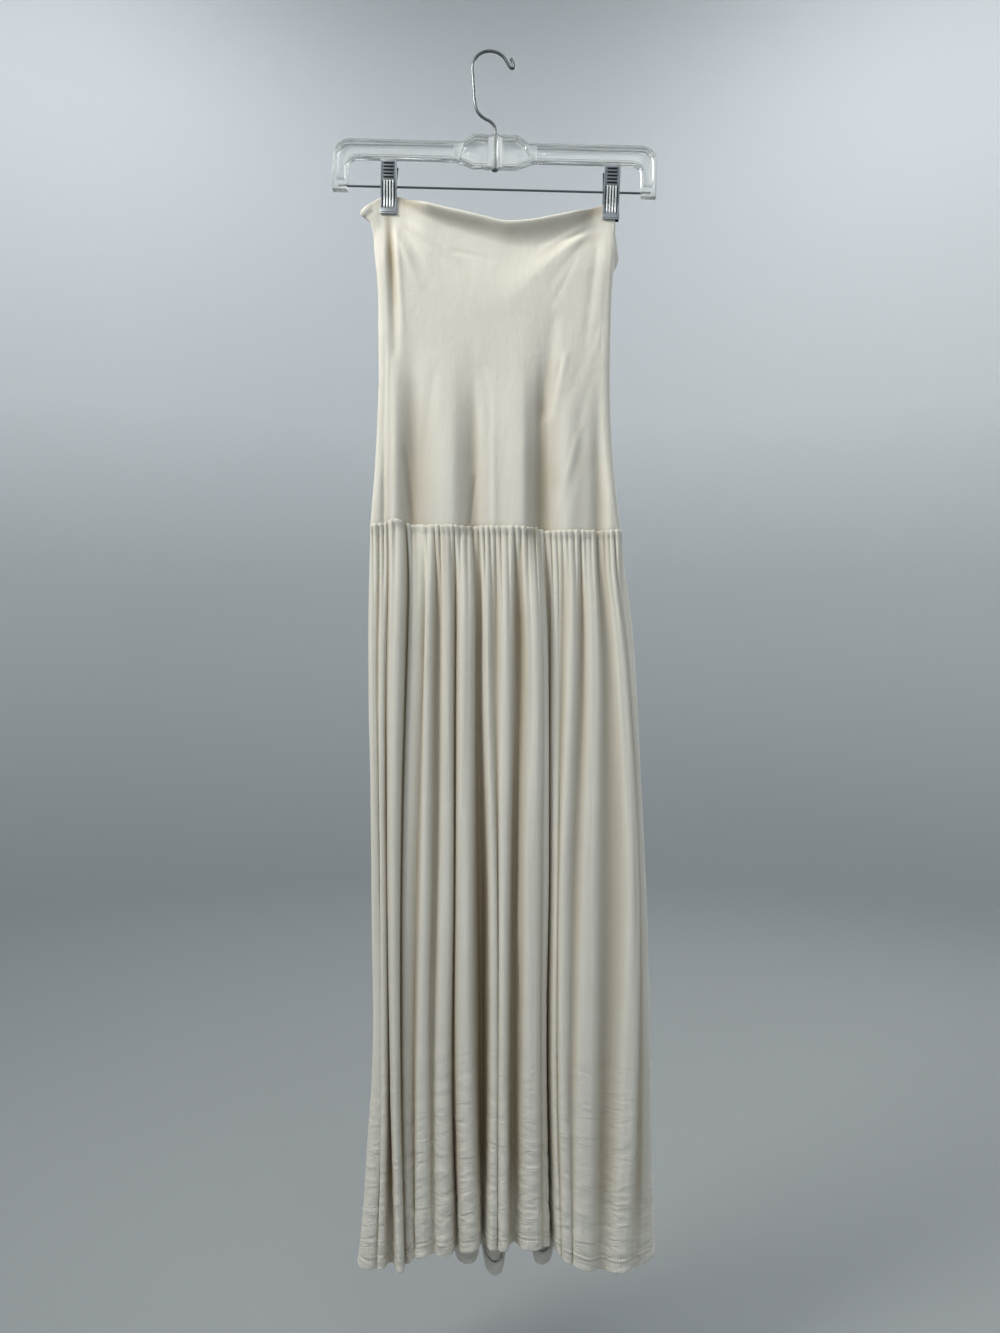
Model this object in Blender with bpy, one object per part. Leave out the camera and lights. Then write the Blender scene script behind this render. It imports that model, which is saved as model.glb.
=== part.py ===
"""Strapless maxi dress hanging from a clear clip hanger.

Sizes are in millimetres in the tables and turned to metres by MM. X runs to
the right, Y away from the viewer, Z up. The origin is the underside of the
hook's top, where the hanger bears on whatever holds it.
"""

import math
from typing import NamedTuple

import bmesh
import bpy

MM = 0.001

# Hanger, in its own upright frame
HANG_TILT = math.radians(1.45)   # it hangs turned about Y, as its stem is off centre
STEM_X = 8.6
WIRE_RADIUS = 1.65
BEAM_HALF = 177.8                # half of a 14 inch beam
BEAM_DEPTH = 9.0
BEAM_WEB = 2.4
HUB_RADIUS = 5.2
ROD_RADIUS = 1.2
ROD_Z = -150.8
ROD_HALF = 171.8
FIT = 0.3                        # clearance between neighbouring pieces
CLIP_TOP = -124.8
CLIP_WIDTH = 17.5
JAW_PLATE = 1.0
CLIPS = (("left", -107.2), ("right", 137.3))

# Cloth
BODICE_WALL = 1.6
SKIRT_WALL = 1.4
SEAM_GAP = 0.15                  # half the gap left at a seam
PINCHED = 0.95                   # middle of one layer from the middle plane, in a clip
PINCH_X = (-111.1, 133.4)        # where the clips grip it
FRONT_FACE = -8.5
BACK_FACE = 6.0
FRONT_GATHERS = 40
BACK_GATHERS = 40
GATHER_HEIGHT = 1.0


class Fold(NamedTuple):
    """One lengthwise fold of a skirt panel: its crest, and the gap to its right."""

    hip: float        # x of the crest under the gathers
    thigh: float
    knee: float
    shin: float
    hem: float
    half_top: float   # half the crest's width at the hip
    half_low: float   # half the crest's width at the hem
    out_top: float    # y of the crest at the hip
    out_low: float
    gap_top: float    # y of the gap at the hip
    gap_low: float
    tuck: float       # how far the gap slides back under the crest


class Crease(NamedTuple):
    """A soft straight trough (depth over 0) or ridge (under 0) in the bodice."""

    x0: float
    z0: float
    x1: float
    z1: float
    width: float
    depth: float


class Swell(NamedTuple):
    """A soft upright fold of the bodice that grows down to the seam."""

    x: float
    width: float
    rise: float       # towards the outside at the seam
    start: float      # share of the bodice's height where it begins


class JawRing(NamedTuple):
    """One level of a clip jaw: height, outer face of the plate, reach of its cheeks."""

    drop: float
    plate: float
    cheek: float


FOLD_LEVELS = (0.05, 0.22, 0.48, 0.755, 1.0)

FRONT_FOLDS = (
    Fold(-127, -128, -124, -121, -131, 2.7, 6.4, -10, -24, -8, -19, 0),
    Fold(-116, -117, -115, -113, -115, 2.7, 3.7, -14, -26, -8, -10, 1),
    Fold(-99, -100, -102, -100, -96, 7.0, 5.3, -22, -36, -6, -9, 4),
    Fold(-68, -67, -70, -72, -76, 3.3, 7.5, -14, -34, -7, -10, 0),
    Fold(-48, -46, -46, -48, -43, 5.5, 5.3, -17, -34, -10, -14, 1),
    Fold(-26, -25, -27, -24, -21, 7.7, 9.5, -20, -42, -7, -8, 2),
    Fold(-3, -3, 3, 3, 1, 2.7, 4.2, -15, -40, -9, -34, 0),
    Fold(18, 20, 18, 17, 15, 5.5, 4.2, -18, -42, -7, -10, 1),
    Fold(40, 47, 43, 42, 43, 8.8, 9.5, -21, -42, -17, -30, 0),
    Fold(57, 65, 63, 60, 65, 2.0, 3.7, -20, -34, -6, -10, 5),
    Fold(81, 88, 82, 81, 90, 4.9, 11.0, -14, -46, -8, -40, 0),
    Fold(104, 111, 108, 106, 115, 4.9, 6.4, -17, -50, -7, -30, 0),
    Fold(124, 138, 144, 141, 138, 4.9, 5.5, -18, -46, -13, -24, 0),
    Fold(138, 151, 161, 163, 163, 2.0, 8.0, -10, -26, 0, 0, 0),
)

BACK_FOLDS = (
    Fold(-123, -124, -123, -122, -124, 4.4, 8.5, 11, 18, 4, 5.5, 0),
    Fold(-103, -104, -102, -100, -99, 4.4, 6.4, 13, 20, 4, 5.5, 0),
    Fold(-83, -81, -78, -74, -71, 4.4, 7.4, 12, 19, 4, 5.5, 0),
    Fold(-62, -58, -54, -49, -46, 4.4, 7.4, 13, 20, 4, 5.5, 0),
    Fold(-38, -35, -27, -18, -11, 3.3, 3.0, 12, 18, 4, 5.5, 0),
    Fold(-12, -7, 5, 18, 29, 6.5, 11.0, 13, 20, 4, 5.5, 0),
    Fold(15, 24, 42, 61, 77, 5.5, 8.5, 13, 20, 4, 5.5, 0),
    Fold(42, 56, 72, 89, 103, 4.4, 6.4, 12, 19, 4, 5.5, 0),
    Fold(68, 85, 100, 113, 126, 4.4, 6.0, 13, 20, 4, 5.5, 0),
    Fold(97, 111, 126, 137, 147, 5.5, 5.4, 12, 19, 4, 5.5, 0),
    Fold(127, 140, 152, 161, 167, 5.0, 5.0, 11, 17, 0, 0, 0),
)

# Outline of the dress: z (falling) and x of each side
LEFT_SIDE = (
    (-174.8, -142.0), (-185.0, -131.5), (-221.4, -126.3), (-263.0, -122.8), (-307.0, -122.3),
    (-359.0, -121.9), (-411.0, -123.6), (-463.0, -126.3), (-524.0, -131.0), (-560.0, -132.7),
    (-718.0, -132.7), (-829.0, -129.5), (-972.0, -127.1), (-1044.0, -125.4), (-1093.0, -127.1),
    (-1189.0, -134.2), (-1237.0, -137.0), (-1285.0, -141.4), (-1328.0, -147.3),
)
RIGHT_SIDE = (
    (-169.0, 140.0), (-185.0, 137.6), (-229.0, 136.3), (-268.0, 133.8), (-307.0, 132.5),
    (-359.0, 131.4), (-411.0, 132.5), (-463.0, 136.3), (-527.0, 144.1), (-560.0, 149.5),
    (-605.0, 154.0), (-672.0, 158.6), (-763.0, 163.0), (-901.0, 169.0), (-1021.0, 171.8),
    (-1165.0, 175.2), (-1308.0, 179.4), (-1330.0, 179.0),
)

# Edges: x and z
TOP_EDGE = (
    (-142.0, -176.0), (-132.0, -168.0), (-121.0, -161.0), (-111.0, -159.5), (-101.0, -160.0),
    (-60.0, -172.5), (-34.0, -178.5), (-8.0, -184.5), (16.0, -190.0), (42.0, -189.0),
    (68.0, -184.5), (94.0, -179.0), (122.0, -169.5), (133.0, -167.0), (140.0, -169.0),
)
WAIST_EDGE = (
    (-131.0, -524.0), (-117.0, -522.0), (-102.0, -518.0), (-88.0, -523.0), (-40.0, -525.0),
    (50.0, -527.0), (60.0, -530.0), (144.0, -530.0),
)
FRONT_HEM = (
    (-147.0, -1326.0), (-95.0, -1323.0), (-75.0, -1308.0), (-43.0, -1306.0), (-20.0, -1297.0),
    (8.0, -1296.0), (45.0, -1295.0), (62.0, -1297.0), (88.0, -1307.0), (115.0, -1315.0),
    (135.0, -1316.0), (179.0, -1312.0),
)
BACK_HEM = (
    (-147.0, -1325.0), (-95.0, -1324.0), (-50.0, -1328.0), (-23.0, -1331.0), (5.0, -1341.0),
    (30.0, -1334.0), (56.0, -1332.0), (100.0, -1322.0), (140.0, -1318.0), (179.0, -1312.0),
)

FRONT_CREASES = (
    Crease(-110.0, -198.0, -102.0, -320.0, 6.5, 4.5),
    Crease(-119.0, -190.0, -115.0, -290.0, 4.5, 2.0),
    Crease(-84.0, -184.0, -42.0, -206.0, 9.0, 4.0),
    Crease(-42.0, -206.0, 18.0, -216.0, 10.0, 4.5),
    Crease(18.0, -216.0, 66.0, -210.0, 10.0, 5.0),
    Crease(66.0, -210.0, 112.0, -190.0, 8.0, 5.0),
    Crease(108.0, -204.0, 74.0, -262.0, 6.0, 2.5),
    Crease(-96.0, -196.0, -66.0, -262.0, 7.0, 2.0),
    Crease(118.0, -215.0, 104.0, -330.0, 6.0, 2.0),
    Crease(96.0, -195.0, 40.0, -232.0, 6.0, -2.5),
    Crease(-90.0, -196.0, -30.0, -232.0, 7.0, -2.0),
)
BACK_CREASES = (
    Crease(-96.0, -190.0, -40.0, -214.0, 10.0, 3.0),
    Crease(-40.0, -214.0, 40.0, -218.0, 12.0, 3.0),
    Crease(40.0, -218.0, 110.0, -192.0, 10.0, 3.0),
    Crease(-104.0, -205.0, -90.0, -320.0, 8.0, 2.0),
    Crease(122.0, -215.0, 108.0, -330.0, 8.0, 2.0),
)
FRONT_SWELLS = (
    Swell(-104.5, 9.0, 4.0, 0.35), Swell(-86.0, 9.0, -3.5, 0.35), Swell(-50.0, 16.0, 4.0, 0.35),
    Swell(-18.0, 8.0, -3.5, 0.45), Swell(-3.0, 6.0, 3.0, 0.55), Swell(29.5, 14.0, 4.0, 0.40),
    Swell(53.5, 7.0, -4.0, 0.30), Swell(87.0, 14.0, 4.0, 0.35), Swell(118.0, 9.0, -2.5, 0.50),
)
BACK_SWELLS = (
    Swell(-95.0, 12.0, 3.5, 0.40), Swell(-65.0, 10.0, -2.5, 0.45), Swell(-30.0, 14.0, 3.5, 0.35),
    Swell(4.0, 10.0, -2.5, 0.50), Swell(40.0, 14.0, 3.5, 0.40), Swell(72.0, 9.0, -2.5, 0.45),
    Swell(104.0, 12.0, 3.5, 0.35),
)

BODICE_ROWS = (0.0, 0.02, 0.045, 0.075, 0.11, 0.15, 0.2, 0.29, 0.4, 0.53, 0.67, 0.82, 1.0)
BODICE_FLAT_COLUMNS = 23
SKIRT_ROWS = (0.0, 0.01, 0.03, 0.065, 0.12, 0.2, 0.32, 0.46, 0.6, 0.74, 0.88, 1.0)

# Hook wire, hanger frame: x and z of its middle line
HOOK_LINE = (
    (8.6, -131.0), (8.6, -110.0), (8.6, -92.0), (8.4, -85.8), (6.4, -79.9), (2.1, -75.8),
    (-4.6, -72.4), (-10.1, -67.7), (-13.7, -62.6), (-15.6, -53.0), (-16.7, -41.1),
    (-17.8, -29.2), (-18.8, -19.5), (-18.0, -12.4), (-14.7, -5.1), (-8.7, -0.2),
    (-0.3, 1.65), (7.9, 0.2), (14.6, -3.8), (19.0, -10.2), (22.6, -15.6), (25.6, -17.0),
    (27.0, -14.2), (22.8, -5.6),
)

# Beam outline, right half from the top middle round to the bottom middle: x from its centre, z
BEAM_OUTLINE = (
    (24.0, -92.4), (37.0, -100.5), (160.8, -100.5), (167.3, -101.8), (172.8, -105.5),
    (176.5, -111.0), (177.8, -117.5), (177.8, -156.0), (161.5, -156.0), (161.5, -130.2),
    (160.7, -126.4), (158.6, -123.1), (155.3, -121.0), (151.5, -120.2), (43.0, -120.2),
    (24.0, -127.5),
)
ARM_POCKET = (
    (46.0, -103.5), (160.8, -103.5), (166.2, -104.6), (170.7, -107.6), (173.7, -112.1),
    (174.8, -117.5), (174.8, -143.5), (164.5, -143.5), (164.5, -130.2), (163.5, -125.2),
    (160.7, -121.0), (156.5, -118.2), (151.5, -117.2), (46.0, -117.2),
)
BOSS_POCKET = (
    (8.0, -95.6), (23.0, -95.6), (33.5, -102.2), (39.5, -117.0), (23.0, -124.3), (8.0, -124.3),
)

JAW_RINGS = (
    JawRing(0.0, -10.4, 1.05), JawRing(3.0, -10.3, 2.4), JawRing(12.0, -9.2, 4.6),
    JawRing(20.0, -8.0, 6.3), JawRing(26.0, -6.9, 5.3), JawRing(32.0, -5.5, 3.8),
    JawRing(37.0, -4.1, 1.7), JawRing(41.0, -3.2, 1.1), JawRing(53.5, -3.1, 1.05),
    JawRing(56.7, -3.7, 1.05),
)
SLOT_DROPS = (5.0, 9.0, 13.0, 17.0)


def ease(value):
    """Smooth step from 0 to 1."""
    value = min(1.0, max(0.0, value))
    return value * value * (3.0 - 2.0 * value)


def mix(start, end, share):
    """Straight blend from start to end."""
    return start + (end - start) * share


def track(knots, values, at):
    """Smooth curve through values at rising knots."""
    if at <= knots[0]:
        return values[0]
    if at >= knots[-1]:
        return values[-1]
    k = max(i for i, knot in enumerate(knots) if knot <= at)

    def slope(i):
        low, high = max(i - 1, 0), min(i + 1, len(knots) - 1)
        return (values[high] - values[low]) / (knots[high] - knots[low])

    step = knots[k + 1] - knots[k]
    t = (at - knots[k]) / step
    return (
        values[k] * (2 * t**3 - 3 * t**2 + 1) + values[k + 1] * (3 * t**2 - 2 * t**3)
        + slope(k) * step * (t**3 - 2 * t**2 + t) + slope(k + 1) * step * (t**3 - t**2)
    )


def side_x(side, z):
    """X of one side of the dress at a height."""
    return track([-row[0] for row in side], [row[1] for row in side], -z)


def edge_z(edge, x):
    """Height of an edge above or below x."""
    return track([row[0] for row in edge], [row[1] for row in edge], x)


def spline_point(points, t):
    """Point of a uniform cubic B-spline that starts and ends on its end points."""
    first = tuple(2 * a - b for a, b in zip(points[0], points[1]))
    last = tuple(2 * a - b for a, b in zip(points[-1], points[-2]))
    row = [first, *points, last]
    k = min(int(t), len(points) - 2)
    u = t - k
    weights = ((1 - u)**3, 3 * u**3 - 6 * u**2 + 4, -3 * u**3 + 3 * u**2 + 3 * u + 1, u**3)
    return tuple(sum(w * row[k + i][axis] for i, w in enumerate(weights)) / 6 for axis in (0, 1))


def along(line, count):
    """Count points spread evenly along an open line of points."""
    reach = [0.0]
    for start, end in zip(line, line[1:]):
        reach.append(reach[-1] + math.dist(start, end))
    spread = []
    k = 0
    for i in range(count):
        at = reach[-1] * i / (count - 1)
        while k < len(line) - 2 and reach[k + 1] < at:
            k += 1
        u = (at - reach[k]) / (reach[k + 1] - reach[k])
        spread.append(tuple(mix(a, b, u) for a, b in zip(line[k], line[k + 1])))
    return spread


# Bodice

def pinch_share(x, z):
    """1 where a clip presses the layers together, falling to 0 away from it."""
    drop = edge_z(TOP_EDGE, x) - z
    low = 1.0 - ease((drop - 22.0) / 70.0)
    return max((1.0 - ease((abs(x - at) - 16.0) / 30.0)) * low for at in PINCH_X)


def crease_depth(creases, x, z):
    """How far the creases carry the cloth inwards here."""
    inward = outward = 0.0
    for c in creases:
        dx, dz = c.x1 - c.x0, c.z1 - c.z0
        t = ((x - c.x0) * dx + (z - c.z0) * dz) / (dx * dx + dz * dz)
        near = min(1.0, max(0.0, t))
        off = math.hypot(x - c.x0 - near * dx, z - c.z0 - near * dz) / c.width
        fade = 1.0 - 0.35 * near
        pull = c.depth * fade * math.exp(-off * off)
        inward, outward = max(inward, pull), min(outward, pull)
    return inward + outward


def face_y(front, x, z, share):
    """Middle of the bodice's wall at x, z, away from the side turns."""
    outward = -1.0 if front else 1.0
    base = FRONT_FACE if front else BACK_FACE
    swells = FRONT_SWELLS if front else BACK_SWELLS
    relief = -crease_depth(FRONT_CREASES if front else BACK_CREASES, x, z)
    for swell in swells:
        grown = ease((share - swell.start) / (1.0 - swell.start))
        relief += swell.rise * grown * math.exp(-((x - swell.x) / swell.width)**2)
    return mix(base + outward * relief, outward * PINCHED, pinch_share(x, z))


def side_turn(outward, edge, into, face):
    """Five points that turn from the side seam onto the face (into is 1 or -1)."""
    reach = 8.0
    depth = abs(face)
    angle = math.radians(90.0) * ease((depth - PINCHED) / 3.0)
    start_y = SEAM_GAP + 0.5 * BODICE_WALL * math.cos(angle)
    next_x, next_y = 1.2 * math.cos(angle), start_y + 1.2 * math.sin(angle)
    slant = (depth - next_y) / max(math.tan(angle), 0.01)
    bend_x = next_x + min(0.5 * reach, max(0.0, slant))
    turn = [(0.0, start_y), (next_x, next_y)]
    for u in (0.33, 0.67, 1.0):
        a, b, c = (1 - u)**2, 2 * u * (1 - u), u * u
        turn.append((a * next_x + b * bend_x + c * reach, a * next_y + (b + c) * depth))
    return [(edge + into * x, outward * y) for x, y in turn]


def bodice_line(front, share):
    """Points x, y across one bodice panel at a share of its height."""
    outward = -1.0 if front else 1.0
    z = mix(-172.0, -526.0, share)
    left, right = side_x(LEFT_SIDE, z), side_x(RIGHT_SIDE, z)
    steps = BODICE_FLAT_COLUMNS - 1
    xs = [mix(left + 8.0, right - 8.0, i / steps) for i in range(steps + 1)]

    def height(x):
        return mix(edge_z(TOP_EDGE, x), edge_z(WAIST_EDGE, x), share)

    ys = [face_y(front, x, height(x), share) for x in xs]
    start = side_turn(outward, left, 1.0, ys[0])
    end = side_turn(outward, right, -1.0, ys[-1])
    return start[:-1] + list(zip(xs, ys)) + end[-2::-1]


def bodice_grid(front):
    """Rows of points for one bodice panel."""
    grid = []
    for share in BODICE_ROWS:
        line = bodice_line(front, share)
        left, right = line[0][0], line[-1][0]
        row = []
        for x, y in line:
            part = (x - left) / (right - left)
            top = edge_z(TOP_EDGE, mix(-142.0, 140.0, part))
            low = edge_z(WAIST_EDGE, mix(-131.0, 144.0, part)) + SEAM_GAP
            row.append((x, y, mix(top, low, share)))
        grid.append(row)
    return grid


# Skirt

def fold_points(folds, outward, level, z):
    """Control points x, y across a skirt panel at a share of its height."""
    low = ease((level - 0.05) / 0.95)
    slide = ease((level - 0.05) / 0.3)
    left, right = side_x(LEFT_SIDE, z), side_x(RIGHT_SIDE, z)
    crests = [
        (track(FOLD_LEVELS, fold[:5], level), mix(fold.half_top, fold.half_low, low),
         mix(fold.out_top, fold.out_low, low), mix(fold.gap_top, fold.gap_low, low), fold.tuck)
        for fold in folds
    ]
    turn = mix(4.0, 9.0, low)
    turns = [outward * y for y in (SEAM_GAP, 0.5 * turn, turn)]
    points = [(left, y) for y in turns]
    for k, (x, half, out, gap, tuck) in enumerate(crests):
        points += [(x - half, out), (x + half, out)]
        if k < len(crests) - 1:
            start, end = x + half, crests[k + 1][0] - crests[k + 1][1]
            third, back = 0.32 * (end - start), tuck * slide
            points += [(start + third - back, gap), (end - third - back, gap)]
    return points + [(right, y) for y in turns[::-1]]


def spread_of_columns(folds, outward, count):
    """Spline parameter of each column, between even in the spline and even in x."""
    points = fold_points(folds, outward, 0.05, -560.0)
    spans = len(points) - 1
    fine = [spans * i / 2000 for i in range(2001)]
    xs = [spline_point(points, t)[0] for t in fine]
    for i in range(1, len(xs)):
        xs[i] = max(xs[i], xs[i - 1])
    columns = []
    k = 0
    for i in range(count):
        at = mix(xs[0], xs[-1], i / (count - 1))
        while k < len(xs) - 1 and xs[k] < at:
            k += 1
        columns.append(0.5 * fine[k] + 0.5 * spans * i / (count - 1))
    return columns


def skirt_grid(front):
    """Rows of points for one skirt panel."""
    outward = -1.0 if front else 1.0
    folds = FRONT_FOLDS if front else BACK_FOLDS
    hem = FRONT_HEM if front else BACK_HEM
    per_gather = 3 if front else 2
    count = (FRONT_GATHERS if front else BACK_GATHERS) * per_gather + 1
    columns = spread_of_columns(folds, outward, count)
    waist = along(bodice_grid(front)[-1], count)
    hem_line = [spline_point(fold_points(folds, outward, 1.0, -1310.0), t) for t in columns]
    grid = []
    for level in SKIRT_ROWS:
        section = fold_points(folds, outward, level, mix(-527.0, -1310.0, level))
        taken = ease(level / 0.1)
        row = []
        for i, t in enumerate(columns):
            fold_x, fold_y = spline_point(section, t)
            x, y = mix(waist[i][0], fold_x, taken), mix(waist[i][1], fold_y, taken)
            gather = i / per_gather
            uneven = 0.75 + 0.25 * math.sin(1.7 * gather + (0.0 if front else 1.0))
            height = GATHER_HEIGHT * uneven * (1.0 - ease(level / 0.17))
            height *= ease(min(i, count - 1 - i) / 5.0)
            wave = math.sin(math.tau * gather) if per_gather == 3 else (-1.0)**i
            z_top = waist[i][2] - 2.0 * SEAM_GAP
            row.append((x, y + height * wave, mix(z_top, edge_z(hem, hem_line[i][0]), level)))
        grid.append(row)
    return grid


# Mesh helpers

def finish(name, colour, roughness, metallic=0.0, alpha=1.0):
    """Plain Principled material."""
    material = bpy.data.materials.new(name)
    material.use_nodes = True
    shader = material.node_tree.nodes["Principled BSDF"]
    shader.inputs["Base Color"].default_value = (*colour, 1.0)
    shader.inputs["Roughness"].default_value = roughness
    shader.inputs["Metallic"].default_value = metallic
    shader.inputs["Alpha"].default_value = alpha
    return material


def add_object(name, mesh, material, parent=None, smooth=True):
    """Link a mesh as a named object with its material."""
    if material is not None:
        mesh.materials.append(material)
    if smooth:
        mesh.shade_smooth()
    thing = bpy.data.objects.new(name, mesh)
    thing.parent = parent
    bpy.context.collection.objects.link(thing)
    return thing


def cloth(name, grid, wall, material):
    """A panel of cloth: a grid of points in mm given its wall, half to each side."""
    width = len(grid[0])
    points = [tuple(value * MM for value in point) for row in grid for point in row]
    faces = [
        (r * width + c, (r + 1) * width + c, (r + 1) * width + c + 1, r * width + c + 1)
        for r in range(len(grid) - 1) for c in range(width - 1)
    ]
    mesh = bpy.data.meshes.new(name)
    mesh.from_pydata(points, [], faces)
    thing = add_object(name, mesh, material)
    solid = thing.modifiers.new("wall", "SOLIDIFY")
    solid.thickness = wall * MM
    solid.offset = 0.0
    return thing


def prism(bm, outline, y_low, y_high):
    """Add the solid between two y levels under an x, z outline, in mm."""
    rings = [[bm.verts.new((x * MM, y * MM, z * MM)) for x, z in outline] for y in (y_low, y_high)]
    bm.faces.new(rings[0])
    bm.faces.new(rings[1][::-1])
    for i in range(len(outline)):
        j = (i + 1) % len(outline)
        bm.faces.new((rings[0][j], rings[0][i], rings[1][i], rings[1][j]))


def round_bar(bm, axis, centre, radius, length, sides=16):
    """Add a capped cylinder along x or z, in mm."""
    made = bmesh.ops.create_cone(
        bm, cap_ends=True, segments=sides, radius1=radius * MM, radius2=radius * MM,
        depth=length * MM,
    )["verts"]
    for vert in made:
        x, y, z = vert.co
        if axis == "x":
            x, y, z = z, y, -x
        vert.co = (x + centre[0] * MM, y + centre[1] * MM, z + centre[2] * MM)


def outward_mesh(name, bm):
    """Close off a bmesh as a mesh whose faces look outwards."""
    bmesh.ops.recalc_face_normals(bm, faces=bm.faces)
    if bm.calc_volume(signed=True) < 0.0:
        bmesh.ops.reverse_faces(bm, faces=bm.faces)
    mesh = bpy.data.meshes.new(name)
    bm.to_mesh(mesh)
    bm.free()
    return mesh


def cut(target, tool, operation="DIFFERENCE"):
    """Boolean the tool with the target; the tool stays out of the picture."""
    tool.hide_render = True
    tool.display_type = "WIRE"
    change = target.modifiers.new(tool.name, "BOOLEAN")
    change.operation = operation
    change.solver = "EXACT"
    change.object = tool


def mirrored(outline, centre):
    """Full outline from its right half."""
    return [(centre + x, z) for x, z in outline] + [(centre - x, z) for x, z in outline[::-1]]


def wire(name, points, radius, material, parent, smooth_path, sides=2):
    """A round wire along x, y, z points in mm."""
    curve = bpy.data.curves.new(name, "CURVE")
    curve.dimensions = "3D"
    curve.bevel_depth = radius * MM
    curve.bevel_resolution = sides
    curve.use_fill_caps = True
    curve.resolution_u = 2 if smooth_path else 1
    spline = curve.splines.new("BEZIER")
    spline.bezier_points.add(len(points) - 1)
    for knot, point in zip(spline.bezier_points, points):
        knot.co = [value * MM for value in point]
        knot.handle_left_type = knot.handle_right_type = "AUTO" if smooth_path else "VECTOR"
    curve.materials.append(material)
    thing = bpy.data.objects.new(name, curve)
    thing.parent = parent
    bpy.context.collection.objects.link(thing)
    return thing


# Hanger

def build_beam(parent, material):
    """Moulded beam: thin web in a rim, hub for the stem, sockets for the rod."""
    bm = bmesh.new()
    prism(bm, mirrored(BEAM_OUTLINE, STEM_X), -0.5 * BEAM_DEPTH, 0.5 * BEAM_DEPTH)
    beam = add_object("hanger_beam", outward_mesh("hanger_beam", bm), material, parent, smooth=False)

    bm = bmesh.new()
    for side in (-1.0, 1.0):
        for pocket in (ARM_POCKET, BOSS_POCKET):
            outline = [(STEM_X + side * x, z) for x, z in pocket]
            for face in (-1.0, 1.0):
                near, far = sorted((face * 0.5 * BEAM_WEB, face * (0.5 * BEAM_DEPTH + 1.0)))
                prism(bm, outline, near, far)
    cut(beam, add_object("pocket_cutter", outward_mesh("pocket_cutter", bm), None, parent))

    bm = bmesh.new()
    round_bar(bm, "z", (STEM_X, 0.0, -110.0), HUB_RADIUS, 37.0, 20)
    cut(beam, add_object("hub_former", outward_mesh("hub_former", bm), None, parent), "UNION")

    bm = bmesh.new()
    round_bar(bm, "z", (STEM_X, 0.0, -110.0), WIRE_RADIUS + FIT, 44.0)
    for side in (-1.0, 1.0):
        middle = STEM_X + side * (ROD_HALF + FIT - 10.0)
        round_bar(bm, "x", (middle, 0.0, ROD_Z), ROD_RADIUS + FIT, 20.0)
    cut(beam, add_object("bore_cutter", outward_mesh("bore_cutter", bm), None, parent))


def build_stop(parent, material):
    """Ring pressed on the stem under the hub."""
    bm = bmesh.new()
    sides = 20
    rings = []
    for radius, z in ((WIRE_RADIUS + FIT, -128.8), (3.5, -128.8), (3.5, -130.3),
                      (WIRE_RADIUS + FIT, -130.3)):
        rings.append([
            bm.verts.new(((STEM_X + radius * math.cos(math.tau * i / sides)) * MM,
                          radius * math.sin(math.tau * i / sides) * MM, z * MM))
            for i in range(sides)
        ])
    for k in range(4):
        low, high = rings[k], rings[(k + 1) % 4]
        for i in range(sides):
            j = (i + 1) % sides
            bm.faces.new((low[i], low[j], high[j], high[i]))
    add_object("hook_stop", outward_mesh("hook_stop", bm), material, parent, smooth=False)


def build_rod(parent, material):
    """Cross rod the clips slide on."""
    bm = bmesh.new()
    round_bar(bm, "x", (STEM_X, 0.0, ROD_Z), ROD_RADIUS, 2.0 * ROD_HALF, 14)
    add_object("hanger_rod", outward_mesh("hanger_rod", bm), material, parent)


def jaw_mesh(name):
    """Front jaw about its clip's middle: a bent channel, from the finger end to the lip."""
    bm = bmesh.new()
    half = 0.5 * CLIP_WIDTH
    rings = []
    for ring in JAW_RINGS:
        wide = half + (0.5 if ring.drop > 52.0 else 0.0)
        outer, inner, tip = ring.plate, ring.plate + JAW_PLATE, ring.plate + ring.cheek
        section = (
            (-wide, outer), (wide, outer), (wide, tip), (wide - JAW_PLATE, tip),
            (wide - JAW_PLATE, inner), (JAW_PLATE - wide, inner), (JAW_PLATE - wide, tip),
            (-wide, tip),
        )
        z = (CLIP_TOP - ring.drop) * MM
        rings.append([bm.verts.new((x * MM, y * MM, z)) for x, y in section])
    for high, low in zip(rings, rings[1:]):
        for i in range(8):
            j = (i + 1) % 8
            bm.faces.new((high[i], high[j], low[j], low[i]))
    bm.faces.new(rings[0])
    bm.faces.new(rings[-1][::-1])
    return outward_mesh(name, bm)


def build_clip(side, x, parent, material, spring_material):
    """Two jaws round the rod and the spring between them."""
    for place, turn in (("front", 0.0), ("back", math.pi)):
        name = f"clip_{side}_{place}_jaw"
        jaw = add_object(name, jaw_mesh(name), material, parent, smooth=False)
        bm = bmesh.new()
        for drop in SLOT_DROPS:
            z = CLIP_TOP - drop
            outline = [(-5.5, z - 0.7), (5.5, z - 0.7), (5.5, z + 0.7), (-5.5, z + 0.7)]
            prism(bm, outline, -12.0, -6.6)
        slots = add_object(f"{name}_slots", outward_mesh(f"{name}_slots", bm), None, parent)
        for thing in (jaw, slots):
            thing.location.x = x * MM
            thing.rotation_euler.z = turn
        cut(jaw, slots)

    coil = []
    turns, steps = 5, 12
    for i in range(turns * steps + 1):
        angle = math.tau * i / steps
        coil.append((
            x - 4.5 + 9.0 * i / (turns * steps), 2.6 * math.cos(angle), ROD_Z + 2.6 * math.sin(angle)
        ))
    coil.insert(0, (x - 4.5, 6.4, ROD_Z + 13.0))
    coil.append((x + 4.5, 6.4, ROD_Z + 13.0))
    wire(f"clip_{side}_spring", coil, 0.5, spring_material, parent, False, 1)


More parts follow.
